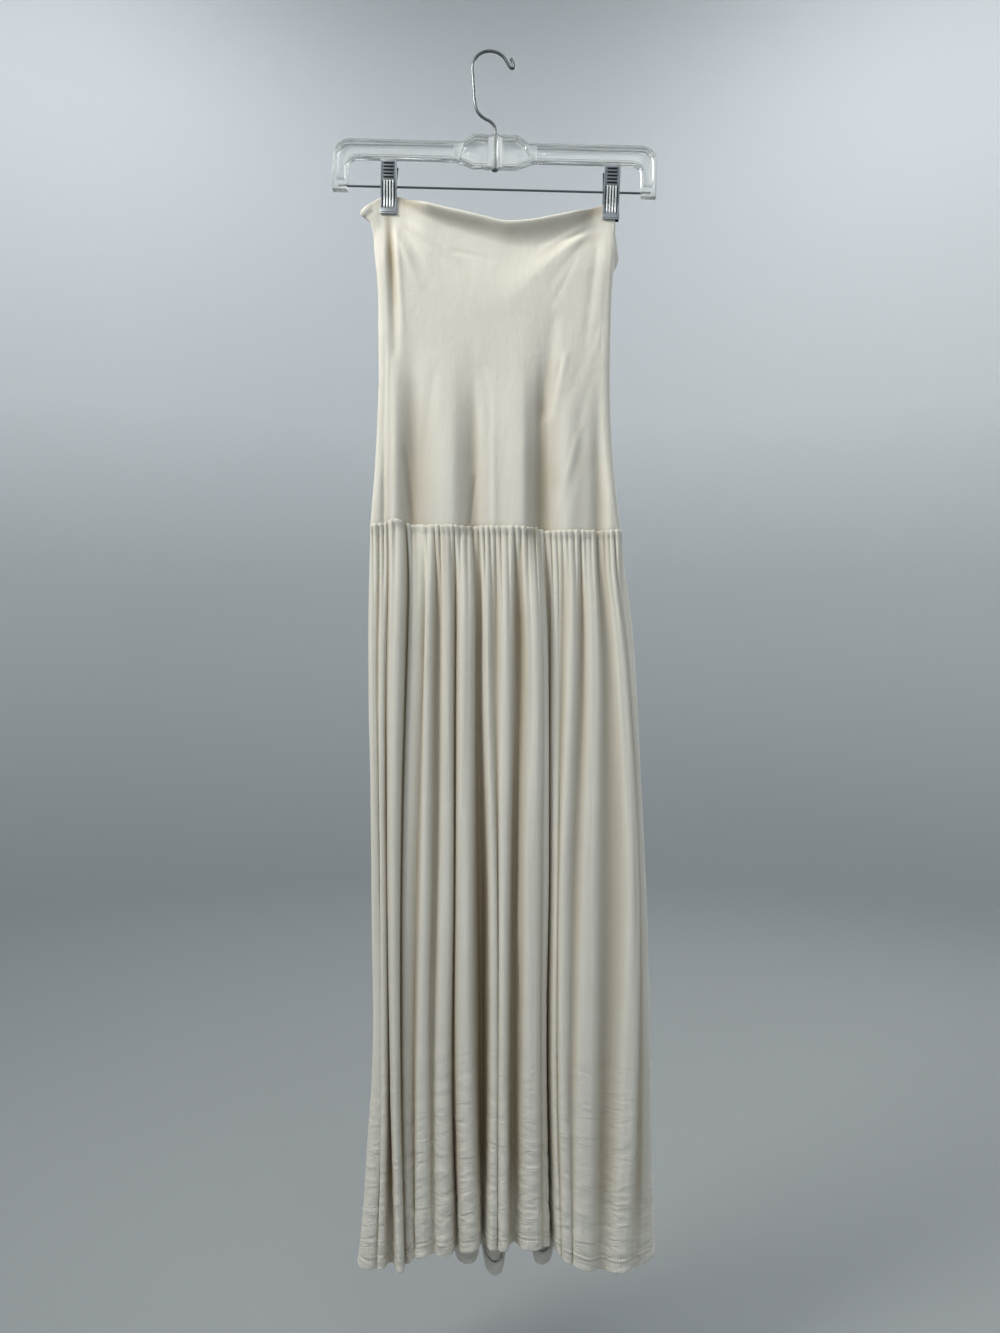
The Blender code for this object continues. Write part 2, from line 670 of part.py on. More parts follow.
def build():
    """Build the whole dress and its hanger."""
    for old in list(bpy.data.objects):
        bpy.data.objects.remove(old, do_unlink=True)

    jersey = finish("cream_jersey", (0.72, 0.67, 0.58), 0.75)
    styrene = finish("clear_styrene", (0.86, 0.90, 0.90), 0.12, alpha=0.35)
    steel = finish("plated_steel", (0.52, 0.54, 0.56), 0.32, metallic=1.0)

    for front, place in ((True, "front"), (False, "back")):
        cloth(f"bodice_{place}", bodice_grid(front), BODICE_WALL, jersey)
        cloth(f"skirt_{place}", skirt_grid(front), SKIRT_WALL, jersey)

    hanger = bpy.data.objects.new("hanger_frame", None)
    hanger.rotation_euler.y = HANG_TILT
    bpy.context.collection.objects.link(hanger)
    build_beam(hanger, styrene)
    wire("hanger_hook", [(x, 0.0, z) for x, z in HOOK_LINE], WIRE_RADIUS, steel, hanger, True)
    build_stop(hanger, steel)
    build_rod(hanger, steel)
    for side, x in CLIPS:
        build_clip(side, x, hanger, steel, steel)


build()
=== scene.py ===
import logging
import math
from dataclasses import dataclass
from enum import Enum
from typing import NamedTuple, Sequence

import bmesh
import bpy
import numpy as np
from mathutils import Matrix, Vector


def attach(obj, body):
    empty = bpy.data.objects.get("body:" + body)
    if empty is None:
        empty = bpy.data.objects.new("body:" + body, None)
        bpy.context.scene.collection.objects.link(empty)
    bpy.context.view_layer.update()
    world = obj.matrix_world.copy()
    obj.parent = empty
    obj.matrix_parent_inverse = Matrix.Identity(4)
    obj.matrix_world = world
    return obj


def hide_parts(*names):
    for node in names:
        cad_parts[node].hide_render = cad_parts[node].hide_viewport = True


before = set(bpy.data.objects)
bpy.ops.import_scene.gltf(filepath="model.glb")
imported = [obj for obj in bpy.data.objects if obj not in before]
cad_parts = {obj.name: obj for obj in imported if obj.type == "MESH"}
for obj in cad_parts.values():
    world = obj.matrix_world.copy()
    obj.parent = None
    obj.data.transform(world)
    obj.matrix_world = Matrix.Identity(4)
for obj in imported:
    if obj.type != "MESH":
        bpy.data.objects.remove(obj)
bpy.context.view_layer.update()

log = logging.getLogger("dress")

Array = np.ndarray
Number = Array | float
BMesh = bmesh.types.BMesh
Mesh = bpy.types.Mesh
Material = bpy.types.Material
Socket = bpy.types.NodeSocket

MM = 0.001
BODY = "root"
STEEL = "plated_steel"
HANG_TILT = math.radians(1.45)
KNIT_MM = 1.3        # real wales are 0.6 mm apart, too fine to show
STITCH_MM = 3.2
HEM_WRINKLES_UP = 0.34       # m above the hem


# Numbers and curves

def ease(value: Number) -> Number:
    """Smooth step from 0 to 1."""
    value = np.clip(value, 0.0, 1.0)
    return value * value * (3.0 - 2.0 * value)


def bell(value: Number) -> Number:
    """Soft hump, 1 at 0 and almost gone at 2 either way."""
    return np.exp(-value * value)


def mix(start: Number, end: Number, share: Number) -> Number:
    """Straight blend from start to end."""
    return start + (end - start) * share


def uneven_steps(*stretches: tuple[float, int]) -> Array:
    """Numbers rising from 0 to 1, by the end and the count of each stretch.

    Args:
        *stretches: The end of each stretch, and how many numbers it has.

    Returns:
        The numbers.
    """
    parts, start = [], 0.0
    for end, count in stretches:
        parts.append(np.linspace(start, end, count, endpoint=end == 1.0))
        start = end
    return np.concatenate(parts)


def track(knots: Sequence[float], values: Sequence[float], at: Number) -> Array:
    """Smooth curve through values at rising knots.

    Args:
        knots: Places of the values, rising.
        values: Values at the knots.
        at: Places to read.

    Returns:
        The curve at each place, held level past both ends.
    """
    k, v = np.asarray(knots, float), np.asarray(values, float)
    at = np.clip(np.asarray(at, float), k[0], k[-1])
    low, high = np.maximum(np.arange(len(k)) - 1, 0), np.minimum(np.arange(len(k)) + 1, len(k) - 1)
    slope = (v[high] - v[low]) / (k[high] - k[low])
    i = np.clip(np.searchsorted(k, at, side="right") - 1, 0, len(k) - 2)
    step = k[i + 1] - k[i]
    t = (at - k[i]) / step
    return (v[i] * (2 * t**3 - 3 * t**2 + 1) + v[i + 1] * (3 * t**2 - 2 * t**3)
            + slope[i] * step * (t**3 - 2 * t**2 + t) + slope[i + 1] * step * (t**3 - t**2))


@dataclass(frozen=True)
class Curve:
    """Smooth curve through rows of place and value, whose places all rise or all fall."""

    rows: tuple[tuple[float, float], ...]

    def __call__(self, at: Number) -> Array:
        """Value at each place.

        Args:
            at: Places to read.

        Returns:
            A value for each.
        """
        knots, values = np.array(self.rows, float).T
        way = math.copysign(1.0, knots[1] - knots[0])
        return track(way * knots, values, way * np.asarray(at, float))

    def along(self, share: Number) -> Array:
        """Value at a share of the way from the first place to the last."""
        return self(mix(self.rows[0][0], self.rows[-1][0], share))


def spline_basis(count: int, t: Array) -> Array:
    """Weights of a uniform cubic B-spline that starts and ends on its end points.

    Args:
        count: Number of control points.
        t: Parameters from 0 to count - 1.

    Returns:
        A row of weights per parameter, a column per control point.
    """
    k = np.minimum(t.astype(int), count - 2)
    u = t - k
    parts = ((1 - u)**3, 3 * u**3 - 6 * u**2 + 4, -3 * u**3 + 3 * u**2 + 3 * u + 1, u**3)
    weights = np.zeros((len(t), count + 2))
    rows = np.arange(len(t))
    for i, part in enumerate(parts):
        weights[rows, k + i] += part / 6.0
    weights[:, 1] += 2 * weights[:, 0]
    weights[:, 2] -= weights[:, 0]
    weights[:, -2] += 2 * weights[:, -1]
    weights[:, -3] -= weights[:, -1]
    return weights[:, 1:-1]


def reach_along(points: Array, axis: int) -> Array:
    """Running length of a grid of points along one axis, from 0.

    Args:
        points: Rows by columns by x, y, z.
        axis: 0 down, 1 across.

    Returns:
        A length for each point.
    """
    steps = np.linalg.norm(np.diff(points, axis=axis), axis=2)
    start = np.zeros_like(np.take(steps, [0], axis=axis))
    return np.concatenate([start, np.cumsum(steps, axis=axis)], axis=axis)


def outward_normals(points: Array, outward: float) -> Array:
    """Unit normals of a grid of points, on the side that outward (-1 front, 1 back) names.

    Args:
        points: Rows by columns by x, y, z.
        outward: -1 for the front, 1 for the back.

    Returns:
        A normal for each.
    """
    normal = np.cross(np.gradient(points, axis=1), np.gradient(points, axis=0))
    normal /= np.linalg.norm(normal, axis=2, keepdims=True) + 1e-9
    if np.mean(normal[:, :, 1]) * outward < 0.0:
        normal = -normal
    return normal


def fold_depth(points: Array, outward: float, reach: int, scale: float) -> Array:
    """How deep each point lies between its neighbouring folds, from 0 to 1; the share sets how much
    painted shade darkens the cloth's colour.

    Args:
        points: Rows by columns by x, y, z in mm.
        outward: -1 for the front, 1 for the back.
        reach: Columns to look to each side.
        scale: Depth in mm that counts for about two thirds.

    Returns:
        A share for each point.
    """
    height = points[:, :, 1] * outward
    crest = height.copy()
    for shift in range(1, reach + 1):
        lean = 0.25 * shift
        crest[:, shift:] = np.maximum(crest[:, shift:], height[:, :-shift] - lean)
        crest[:, :-shift] = np.maximum(crest[:, :-shift], height[:, shift:] - lean)
    at = np.arange(points.shape[1])
    inner = ease((np.minimum(at, at[::-1]) - 6.0) / 10.0)
    return (1.0 - np.exp(-np.maximum(crest - height, 0.0) / scale)) * inner[None, :]


# Finishes

def linear(code: str) -> tuple[float, float, float, float]:
    """Linear colour of an sRGB hex code such as #E4DDCF.

    Args:
        code: The hex code.

    Returns:
        Red, green, blue and alpha.
    """
    parts = [int(code[i:i + 2], 16) / 255.0 for i in (1, 3, 5)]
    flat = [p / 12.92 if p <= 0.04045 else ((p + 0.055) / 1.055)**2.4 for p in parts]
    return (*flat, 1.0)


def add_node(material: Material, kind: str, inputs: dict | None = None,
             **settings: object) -> bpy.types.Node:
    """Add a shader node with its settings, input values and links.

    Args:
        material: Material that takes the node.
        kind: Node type after ShaderNode, such as Mix.
        inputs: Input name or index to a value, or to an output socket to link from.
        **settings: Attributes of the node.

    Returns:
        The new node.
    """
    node = material.node_tree.nodes.new(f"ShaderNode{kind}")
    for name, value in settings.items():
        setattr(node, name, value)
    for name, value in (inputs or {}).items():
        if isinstance(value, Socket):
            material.node_tree.links.new(value, node.inputs[name])
        else:
            node.inputs[name].default_value = value
    return node


def new_material(name: str) -> tuple[Material, bpy.types.Node, Socket]:
    """An empty node material, its Principled shader, and its Object coordinates.

    Args:
        name: What it is called.

    Returns:
        The material, shader and coordinates.
    """
    material = bpy.data.materials.new(name)
    material.use_nodes = True
    place = add_node(material, "TexCoord").outputs["Object"]
    return material, material.node_tree.nodes["Principled BSDF"], place


def noise(m: Material, at: Socket, scale: float, detail: float, rough: float = 0.5,
          warp: float = 0.0) -> Socket:
    """Cloudy noise at a place."""
    return add_node(m, "TexNoise", {"Vector": at, "Scale": scale, "Detail": detail,
                                    "Roughness": rough, "Distortion": warp}).outputs["Fac"]


def scaled(m: Material, at: Socket, scale: tuple[float, float], turn: float = 0.0) -> Socket:
    """Flat coordinates scaled, then turned."""
    return add_node(m, "Mapping", {"Vector": at, "Rotation": (0.0, 0.0, turn),
                                   "Scale": (*scale, 1.0)}).outputs[0]


def ranged(m: Material, value: Socket, start: float, end: float, low: float = 0.0,
           high: float = 1.0, curve: str = "LINEAR") -> Socket:
    """Value between start and end, carried over to between low and high.

    Args:
        m: Material to add to.
        value: What is carried over.
        start: Value that becomes low.
        end: Value that becomes high.
        low: Least result.
        high: Greatest result.
        curve: How it goes between them.

    Returns:
        The result.
    """
    return add_node(m, "MapRange", {"Value": value, "From Min": start, "From Max": end,
                                    "To Min": low, "To Max": high},
                    interpolation_type=curve).outputs[0]


def blend(m: Material, share: Socket, first: Socket | str, second: str) -> Socket:
    """Colour blended from first to second, which are sockets or hex codes.

    Args:
        m: Material to add to.
        share: Share of second.
        first: Socket or hex code.
        second: Hex code.

    Returns:
        The colour.
    """
    first = linear(first) if isinstance(first, str) else first
    return add_node(m, "Mix", {"Factor": share, 6: first, 7: linear(second)},
                    data_type="RGBA").outputs[2]


def calc(m: Material, operation: str, *values: Socket | float) -> Socket:
    """One step of arithmetic."""
    return add_node(m, "Math", dict(enumerate(values)), operation=operation).outputs[0]


def bump(m: Material, height: Socket, strength: Socket | float, metres: float,
         under: Socket | None = None) -> Socket:
    """Normal bent by a height, on top of the normal under it.

    Args:
        m: Material to add to.
        height: Height field.
        strength: Share of it that counts.
        metres: Height of 1 in the field.
        under: Normal that it lies on.

    Returns:
        The new normal.
    """
    inputs = {"Height": height, "Strength": strength, "Distance": metres}
    if under is not None:
        inputs["Normal"] = under
    return add_node(m, "Bump", inputs).outputs[0]


@dataclass(frozen=True)
class ViscoseJersey:
    """Cream viscose jersey: a fine knit with a soft satin lustre along its ribs."""

    name: str = "cream_viscose_jersey"
    cream: str = "#EBE8DF"
    shade: str = "#E1DDD2"
    # Painted shade: the colour that cloth deep in a fold is blended towards
    painted_fold_shade: str = "#93805E"
    thread: str = "#8F8471"
    stitched: bool = False     # two rows of topstitching above the hem

    def build(self) -> Material:
        """Make the material.

        Returns:
            A material that reads the piece's own UV map, which is in metres of cut cloth.
        """
        m, shader, place = new_material(self.name)
        uv = add_node(m, "UVMap", uv_map="cut").outputs["UV"]
        streak = noise(m, scaled(m, uv, (260.0, 9.0)), 1.0, 3.0, 0.65)
        cloud = calc(m, "ADD", noise(m, place, 9.0, 4.0, 0.6), streak)
        colour = blend(m, ranged(m, cloud, 0.6, 1.4), self.shade, self.cream)
        # Painted shade: cloth deep in a fold is blended towards a dark warm colour, standing in for
        # the dim light between folds
        fold = add_node(m, "Attribute", attribute_name="fold").outputs["Fac"]
        colour = blend(m, fold, colour, self.painted_fold_shade)

        # Knit ribs, and a fine tooth between them
        across = scaled(m, uv, (math.tau / (KNIT_MM * MM) / 20.0, 1.0))
        ribs = add_node(m, "TexWave", {"Vector": across, "Scale": 1.0, "Distortion": 0.6,
                                       "Detail": 1.0, "Detail Scale": 2.0}, wave_type="BANDS",
                        bands_direction="X", wave_profile="SIN").outputs["Fac"]
        knit = calc(m, "MULTIPLY_ADD", noise(m, uv, 1400.0, 2.0), 0.8, ribs)
        normal = bump(m, knit, 0.22, 0.0003)
        # Slack crumple left by wear and washing, 12 to 40 mm across
        crumple = noise(m, place, 34.0, 5.0, 0.55, 0.7)
        normal = bump(m, crumple, 0.3, 0.003, normal)
        if self.stitched:
            colour = self.stitch_colour(m, uv, colour)
            drawn = noise(m, scaled(m, uv, (170.0, 5.0)), 1.0, 3.0, 0.55)
            normal = self.hem_crumple(m, uv, bump(m, drawn, 0.5, 0.0016, normal))
        m.node_tree.links.new(colour, shader.inputs["Base Color"])
        m.node_tree.links.new(normal, shader.inputs["Normal"])
        shader.inputs["Roughness"].default_value = 0.62
        shader.inputs["Specular IOR Level"].default_value = 0.38
        shader.inputs["Sheen Weight"].default_value = 0.22
        shader.inputs["Sheen Roughness"].default_value = 0.45
        shader.inputs["Sheen Tint"].default_value = linear("#FFF6E6")
        return m

    def hem_crumple(self, m: Material, uv: Socket, normal: Socket) -> Socket:
        """Slanting slack wrinkles, strongest at the hem.

        Args:
            m: Material to add to.
            uv: UV in metres, with V measured up from the hem.
            normal: Normal to add the wrinkles to.

        Returns:
            The normal with them.
        """
        wrinkle = noise(m, scaled(m, uv, (30.0, 74.0), 0.55), 1.0, 3.0, 0.5, 1.3)
        ridge = ranged(m, wrinkle, 0.3, 0.7, curve="SMOOTHSTEP")
        up = add_node(m, "SeparateXYZ", {0: uv}).outputs[1]
        low = ranged(m, up, 0.0, HEM_WRINKLES_UP, 1.0, 0.0, "SMOOTHSTEP")
        return bump(m, ridge, low, 0.0010, normal)

    def stitch_colour(self, m: Material, uv: Socket, base: Socket) -> Socket:
        """Darken the thread of two rows of topstitching: partly the thread's own colour, partly
        painted shade where it sinks into the cloth.

        Args:
            m: Material to add to.
            uv: UV in metres, with V measured up from the hem.
            base: Colour of the cloth.

        Returns:
            The colour with the stitching on it.
        """
        along, up, _ = add_node(m, "SeparateXYZ", {0: uv}).outputs
        beat = calc(m, "SINE", calc(m, "MULTIPLY", along, math.tau / (STITCH_MM * MM)))
        rows = []
        for height in (Hem.stitch_low, Hem.stitch_high):
            away = calc(m, "ABSOLUTE", calc(m, "SUBTRACT", up, height * MM))
            rows.append(ranged(m, away, 0.0003, 0.0009, 1.0, 0.0))
        thread = calc(m, "MULTIPLY", calc(m, "MAXIMUM", *rows), ranged(m, beat, -0.4, 0.2))
        return blend(m, calc(m, "MULTIPLY", thread, 0.5), base, self.thread)


@dataclass(frozen=True)
class ClearStyrene:
    """Crystal polystyrene, moulded: clear, hard and glossy, with handling haze."""

    name: str = "clear_moulded_styrene"

    def build(self) -> Material:
        """Make the material."""
        m, shader, place = new_material(self.name)
        haze = noise(m, place, 60.0, 5.0)
        rough = ranged(m, haze, 0.35, 0.75, 0.03, 0.12)
        m.node_tree.links.new(rough, shader.inputs["Roughness"])
        m.node_tree.links.new(bump(m, haze, 0.12, 0.0006), shader.inputs["Normal"])
        shader.inputs["Base Color"].default_value = linear("#FBFDFD")
        shader.inputs["Transmission Weight"].default_value = 0.87
        shader.inputs["IOR"].default_value = 1.49
        return m


@dataclass(frozen=True)
class PlatedSteel:
    """Nickel or zinc plated steel: a thin bright plate, faintly dulled by handling."""

    name: str
    colour: str
    dull: str
    rough_low: float
    rough_high: float

    def build(self) -> Material:
        """Make the material."""
        m, shader, place = new_material(self.name)
        cloud = noise(m, place, 220.0, 6.0, 0.6)
        rough = ranged(m, cloud, 0.3, 0.7, self.rough_low, self.rough_high)
        link = m.node_tree.links.new
        link(blend(m, cloud, self.dull, self.colour), shader.inputs["Base Color"])
        link(rough, shader.inputs["Roughness"])
        link(bump(m, cloud, 0.06, 0.0002), shader.inputs["Normal"])
        shader.inputs["Metallic"].default_value = 1.0
        return m


# Pieces

class Part(Enum):
    """The two layers of the dress as it hangs, and which way each faces."""

    FRONT = -1.0
    BACK = 1.0

    @property
    def place(self) -> str:
        """Word for a name."""
        return self.name.lower()


def mesh_of(bm: BMesh, name: str, place: Matrix | None = None) -> Mesh:
    """A smooth shaded mesh from a bmesh, which is used up.

    Args:
        bm: The bmesh.
        name: Name of the mesh.
        place: Where to put it.

    Returns:
        The new mesh.
    """
    mesh = bpy.data.meshes.new(name)
    bm.to_mesh(mesh)
    bm.free()
    if place is not None:
        mesh.transform(place)
    mesh.shade_smooth()
    return mesh


def round_edges(bm: BMesh, edges: Sequence[bmesh.types.BMEdge], width: float) -> None:
    """Round edges by a width in mm."""
    bmesh.ops.bevel(bm, geom=edges, offset=width * MM, offset_type="OFFSET", segments=2,
                    affect="EDGES", profile=0.5, material=-1, clamp_overlap=True)


def finish_piece(mesh: Mesh, material: Material, slot: str,
                 *nodes: str) -> bpy.types.Object:
    """Link a mesh as a piece of the dress or its hanger.

    Args:
        mesh: The mesh, placed in the row's frame and named for the piece.
        material: Its finish.
        slot: Not used.
        *nodes: CAD nodes that it stands for.

    Returns:
        The new object.
    """
    mesh.materials.append(material)
    piece = bpy.data.objects.new(mesh.name, mesh)
    bpy.context.scene.collection.objects.link(piece)
    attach(piece, BODY)
    if nodes:
        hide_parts(*nodes)
    log.info("%s: %d faces", mesh.name, len(mesh.polygons))
    return piece


def cloth_piece(name: str, points: Array, cut: Array, depth: Array, wall: float,
                material: Material, node: str) -> bpy.types.Object:
    """A panel of cloth from a grid of points.

    Args:
        name: Name of the piece.
        points: Rows by columns by x, y, z in mm.
        cut: Rows by columns by u, v in mm of flat cloth.
        depth: Rows by columns of fold depth, 0 to 1, which sets the painted shade in the cloth's
            colour.
        wall: Thickness in mm, half to each side.
        material: Its finish.
        node: CAD node that it stands for.

    Returns:
        The new object.
    """
    rows, columns = points.shape[:2]
    bm = bmesh.new()
    bmesh.ops.create_grid(bm, x_segments=columns - 1, y_segments=rows - 1, size=1.0)
    mesh = mesh_of(bm, name)
    mesh.vertices.foreach_set("co", (points * MM).reshape(-1).astype(np.float32))
    layer = mesh.uv_layers.new(name="cut")
    corner = np.zeros(len(mesh.loops), int)
    mesh.loops.foreach_get("vertex_index", corner)
    layer.uv.foreach_set("vector", (cut.reshape(-1, 2)[corner] * MM).reshape(-1).astype(np.float32))
    # Fold depth kept on the mesh to paint shade into the cloth's colour
    fold = mesh.attributes.new(name="fold", type="FLOAT", domain="POINT")
    fold.data.foreach_set("value", depth.reshape(-1).astype(np.float32))
    mesh.update()
    piece = finish_piece(mesh, material, "jersey", node)
    solid = piece.modifiers.new("wall", "SOLIDIFY")
    solid.thickness = wall * MM
    solid.offset = 0.0
    return piece


class Crease(NamedTuple):
    """A soft straight trough (depth over 0) or ridge (under 0), in mm."""

    x0: float
    z0: float
    x1: float
    z1: float
    width: float
    depth: float
    fade: float         # share of the depth that is lost by its far end


class Swell(NamedTuple):
    """A soft upright fold of the bodice that grows down to the seam."""

    x: float
    width: float
    rise: float
    start: float
    skew: float = 0.0         # over 0: wide on its left, steep on its right


class Fold(NamedTuple):
    """One lengthwise fold of a skirt panel: its crest, and the gap to its right."""

    hip: float
    thigh: float
    knee: float
    shin: float
    hem: float
    half_top: float
    half_low: float
    out_top: float
    out_low: float
    gap_top: float
    gap_low: float
    tuck: float


class Outline:
    """The dress's outline as it hangs: its sides as x at z, and its edges as z at x."""

    left = Curve((
        (-174.8, -142), (-185, -131.5), (-221.4, -126.3), (-263, -122.8), (-307, -122.3),
        (-359, -121.9), (-411, -123.6), (-463, -126.3), (-524, -131), (-560, -132.7),
        (-718, -132.7), (-829, -129.5), (-972, -127.1), (-1044, -125.4), (-1093, -127.1),
        (-1189, -134.2), (-1237, -137), (-1285, -141.4), (-1328, -147.3),
    ))
    right = Curve((
        (-169, 140), (-185, 137.6), (-229, 136.3), (-268, 133.8), (-307, 132.5), (-359, 131.4),
        (-411, 132.5), (-463, 136.3), (-527, 144.1), (-560, 149.5), (-605, 154), (-672, 158.6),
        (-763, 163), (-901, 169), (-1021, 171.8), (-1165, 175.2), (-1308, 179.4), (-1330, 179),
    ))
    top = Curve((
        (-142, -176), (-132, -168), (-121, -161), (-111, -159.5), (-101, -160), (-60, -172.5),
        (-34, -178.5), (-8, -184.5), (16, -190), (42, -189), (68, -184.5), (94, -179),
        (122, -169.5), (133, -167), (140, -169),
    ))
    waist = Curve((
        (-131, -524), (-117, -522), (-102, -518), (-88, -523), (-40, -525), (50, -527),
        (60, -530), (144, -530),
    ))
    hems = {
        Part.FRONT: Curve((
            (-147, -1326), (-95, -1323), (-75, -1308), (-43, -1306), (-20, -1297), (8, -1296),
            (45, -1295), (62, -1297), (88, -1307), (115, -1315), (135, -1316), (179, -1312),
        )),
        Part.BACK: Curve((
            (-147, -1325), (-95, -1322), (-40, -1320), (-35, -1333), (-17, -1336), (-12, -1322),
            (-7.5, -1322), (-3, -1343), (12, -1346), (17, -1324), (47, -1320), (51, -1334),
            (66, -1335), (71, -1320), (100, -1320), (140, -1318), (179, -1312),
        )),
    }


class Hem:
    """The turned-up hem: heights in mm above the fold."""

    turn_up = 16.0
    stitch_low = 10.0
    stitch_high = 14.5
    roll = 0.9


@dataclass
class Bodice:
    """Smooth bodice panels, front and back, gripped at the top by the clips."""

    material: Material
    wall: float = 1.2
    flat_columns: int = 150
    turn_reach: float = 8.0
    pinched: float = 0.95
    seam_half_gap: float = 0.15
    swell_gain: float = 1.5
    top_z: float = -172.0
    seam_z: float = -526.0
    fold_reach: int = 15
    fold_scale: float = 8.5

    clip_x = (-111.1, 133.4)
    flat_face = {Part.FRONT: 8.5, Part.BACK: 6.0}
    edge_lift = {Part.FRONT: 3.0, Part.BACK: 1.5}
    creases = {
        Part.FRONT: tuple(Crease(*row) for row in (
            (-110.5, -188, -103, -338, 4.6, 8.5, 0.85),
            (-103.5, -196, -95, -310, 3.2, -2.2, 0.7), (-119, -186, -114, -300, 3, 1.8, 0.6),
            (-115.5, -330, -116.5, -524, 2.6, 2, -0.4),
            (-112.5, -330, -112.5, -524, 2.2, -0.9, 0), (118, -186, 60, -216, 3.4, -1.8, 0.6),
            (112, -200, 66, -258, 5, 1.4, 0.8), (-96, -196, -66, -262, 6, 1.8, 0.8),
            (-96, -188, -34, -232, 4, -2, 0.75), (-92, -199, -48, -236, 3, 1.4, 0.6),
            (-98, -214, -78, -262, 3, -1.3, 0.7), (-40, -222, 8, -232, 3.5, 0.7, 0.6),
            (118, -215, 104, -330, 5, 1.5, 0.6), (96, -224, 60, -300, 3, 0.8, 0.7),
            (70, -296, 58, -400, 7.5, 1.4, -0.9), (83, -338, 69, -404, 3.8, -1.2, 0.6),
            (76, -346, 64, -406, 3, 0.8, 0.6), (120, -300, 78, -400, 5, 0.5, 0.4),
            (112, -360, 84, -452, 4, 0.5, 0.5), (102, -424, 84, -500, 4, 0.6, 0.4),
            (94, -430, 76, -498, 3, -0.6, 0.4), (128, -250, 122, -330, 3, 1, 0.4),
            (131, -200, 129.5, -262, 1.8, 1.6, 0.2), (-93, -440, -84, -516, 3, 1.6, 0),
            (-88, -486, -80, -520, 1.6, 1, 0), (-16, -470, -22, -520, 2, 1.2, 0),
            (-62, -360, -70, -430, 5, 0.8, 0.4), (-8, -350, 2, -420, 6, 0.8, 0.4),
        )),
        Part.BACK: tuple(Crease(*row) for row in (
            (-104, -205, -90, -320, 5, 2, 0.6), (122, -215, 108, -330, 5, 2, 0.6),
            (-96, -194, -30, -246, 4, -1.5, 0.7), (116, -196, 48, -250, 4, -1.6, 0.7),
            (-60, -340, -44, -410, 5, 1.4, 0.4), (70, -330, 52, -420, 5, 1.6, 0.4),
            (-112, -380, -108, -520, 3, 1.4, 0), (104, -420, 86, -500, 3.5, 1.3, 0.3),
        )),
    }
    swells = {
        Part.FRONT: tuple(Swell(*row) for row in (
            (-103.5, 6.5, 2.4, 0.35), (-84, 12, -3.7, 0.34, -0.2), (-42, 15, 3.2, 0.36, 0.35),
            (-17, 8.5, -3, 0.38, 0.1), (4, 4, 0.9, 0.52), (35, 16, 4.4, 0.34, 0.5),
            (57, 10, -4, 0.28, -0.3), (86, 11, 2.2, 0.36), (119, 7.5, -3, 0.44),
            (132, 5, 1.4, 0.55),
        )),
        Part.BACK: tuple(Swell(*row) for row in (
            (-95, 12, 3.5, 0.40), (-65, 9, -2.5, 0.45), (-30, 14, 3.5, 0.35), (4, 8, -2.5, 0.50),
            (40, 14, 3.5, 0.40), (72, 8, -2.5, 0.45), (104, 12, 3.5, 0.35),
        )),
    }

    # The sag of the top edge, at shares of the way between the clips
    cowl_at = (-0.02, 0.08, 0.25, 0.45, 0.62, 0.80, 0.92, 1.01)
    cowl_depth = {
        Part.FRONT: (0.0, 3.0, 6.0, 6.6, 6.6, 7.0, 5.0, 0.0),
        Part.BACK: (0.0, 1.5, 4.0, 5.0, 5.0, 4.0, 2.5, 0.0),
    }
    cowl_reach = {
        Part.FRONT: (10.0, 13.0, 18.0, 22.0, 24.0, 24.0, 20.0, 12.0),
        Part.BACK: (10.0, 18.0, 26.0, 30.0, 30.0, 26.0, 18.0, 10.0),
    }
    cowl_return = {
        Part.FRONT: (30.0, 60.0, 90.0, 80.0, 46.0, 13.0, 8.0, 6.0),
        Part.BACK: (20.0, 24.0, 26.0, 26.0, 24.0, 20.0, 14.0, 10.0),
    }

    def cowl_value(self, table: Sequence[float], x: Array) -> Array:
        """Value at x of a table along the top edge."""
        left, right = self.clip_x
        return track(self.cowl_at, table, (x - left) / (right - left))

    def cowl(self, part: Part, x: Array, drop: Array) -> Array:
        """How far the cloth sags back under the top edge between the clips, in mm.

        Args:
            part: Front or back.
            x: Places across, in mm.
            drop: How far each point lies below the top edge, in mm.

        Returns:
            Sag for each point, inwards.
        """
        reach = self.cowl_value(self.cowl_reach[part], x)
        back = self.cowl_value(self.cowl_return[part], x)
        sag = self.cowl_value(self.cowl_depth[part], x) * ease((drop - 1.0) / reach)
        return sag * (1.0 - ease((drop - reach) / back))

    def relief(self, part: Part, x: Array, z: Array, share: float) -> Array:
        """How far the folds and creases carry the cloth outwards, in mm.

        Args:
            part: Front or back.
            x: Places across, in mm.
            z: Heights, in mm.
            share: Share of the way down the panel.

        Returns:
            Relief in mm.
        """
        inward, outward = np.zeros_like(x), np.zeros_like(x)
        for c in self.creases[part]:
            dx, dz = c.x1 - c.x0, c.z1 - c.z0
            t = np.clip(((x - c.x0) * dx + (z - c.z0) * dz) / (dx * dx + dz * dz), -0.15, 1.15)
            off = np.hypot(x - c.x0 - t * dx, z - c.z0 - t * dz) / c.width
            ends = ease((t + 0.15) / 0.22) * ease((1.15 - t) / 0.22)
            pull = c.depth * (1.0 - c.fade * np.clip(t, 0.0, 1.0)) * bell(off) * ends
            inward, outward = np.maximum(inward, pull), np.minimum(outward, pull)
        rise = -(inward + outward)
        for s in self.swells[part]:
            grown = ease((share - s.start + 0.05) / (0.92 - s.start))
            width = s.width * np.where(x < s.x, 1.0 + s.skew, 1.0 - s.skew)
            rise += self.swell_gain * s.rise * grown * bell((x - s.x) / width)
        return rise

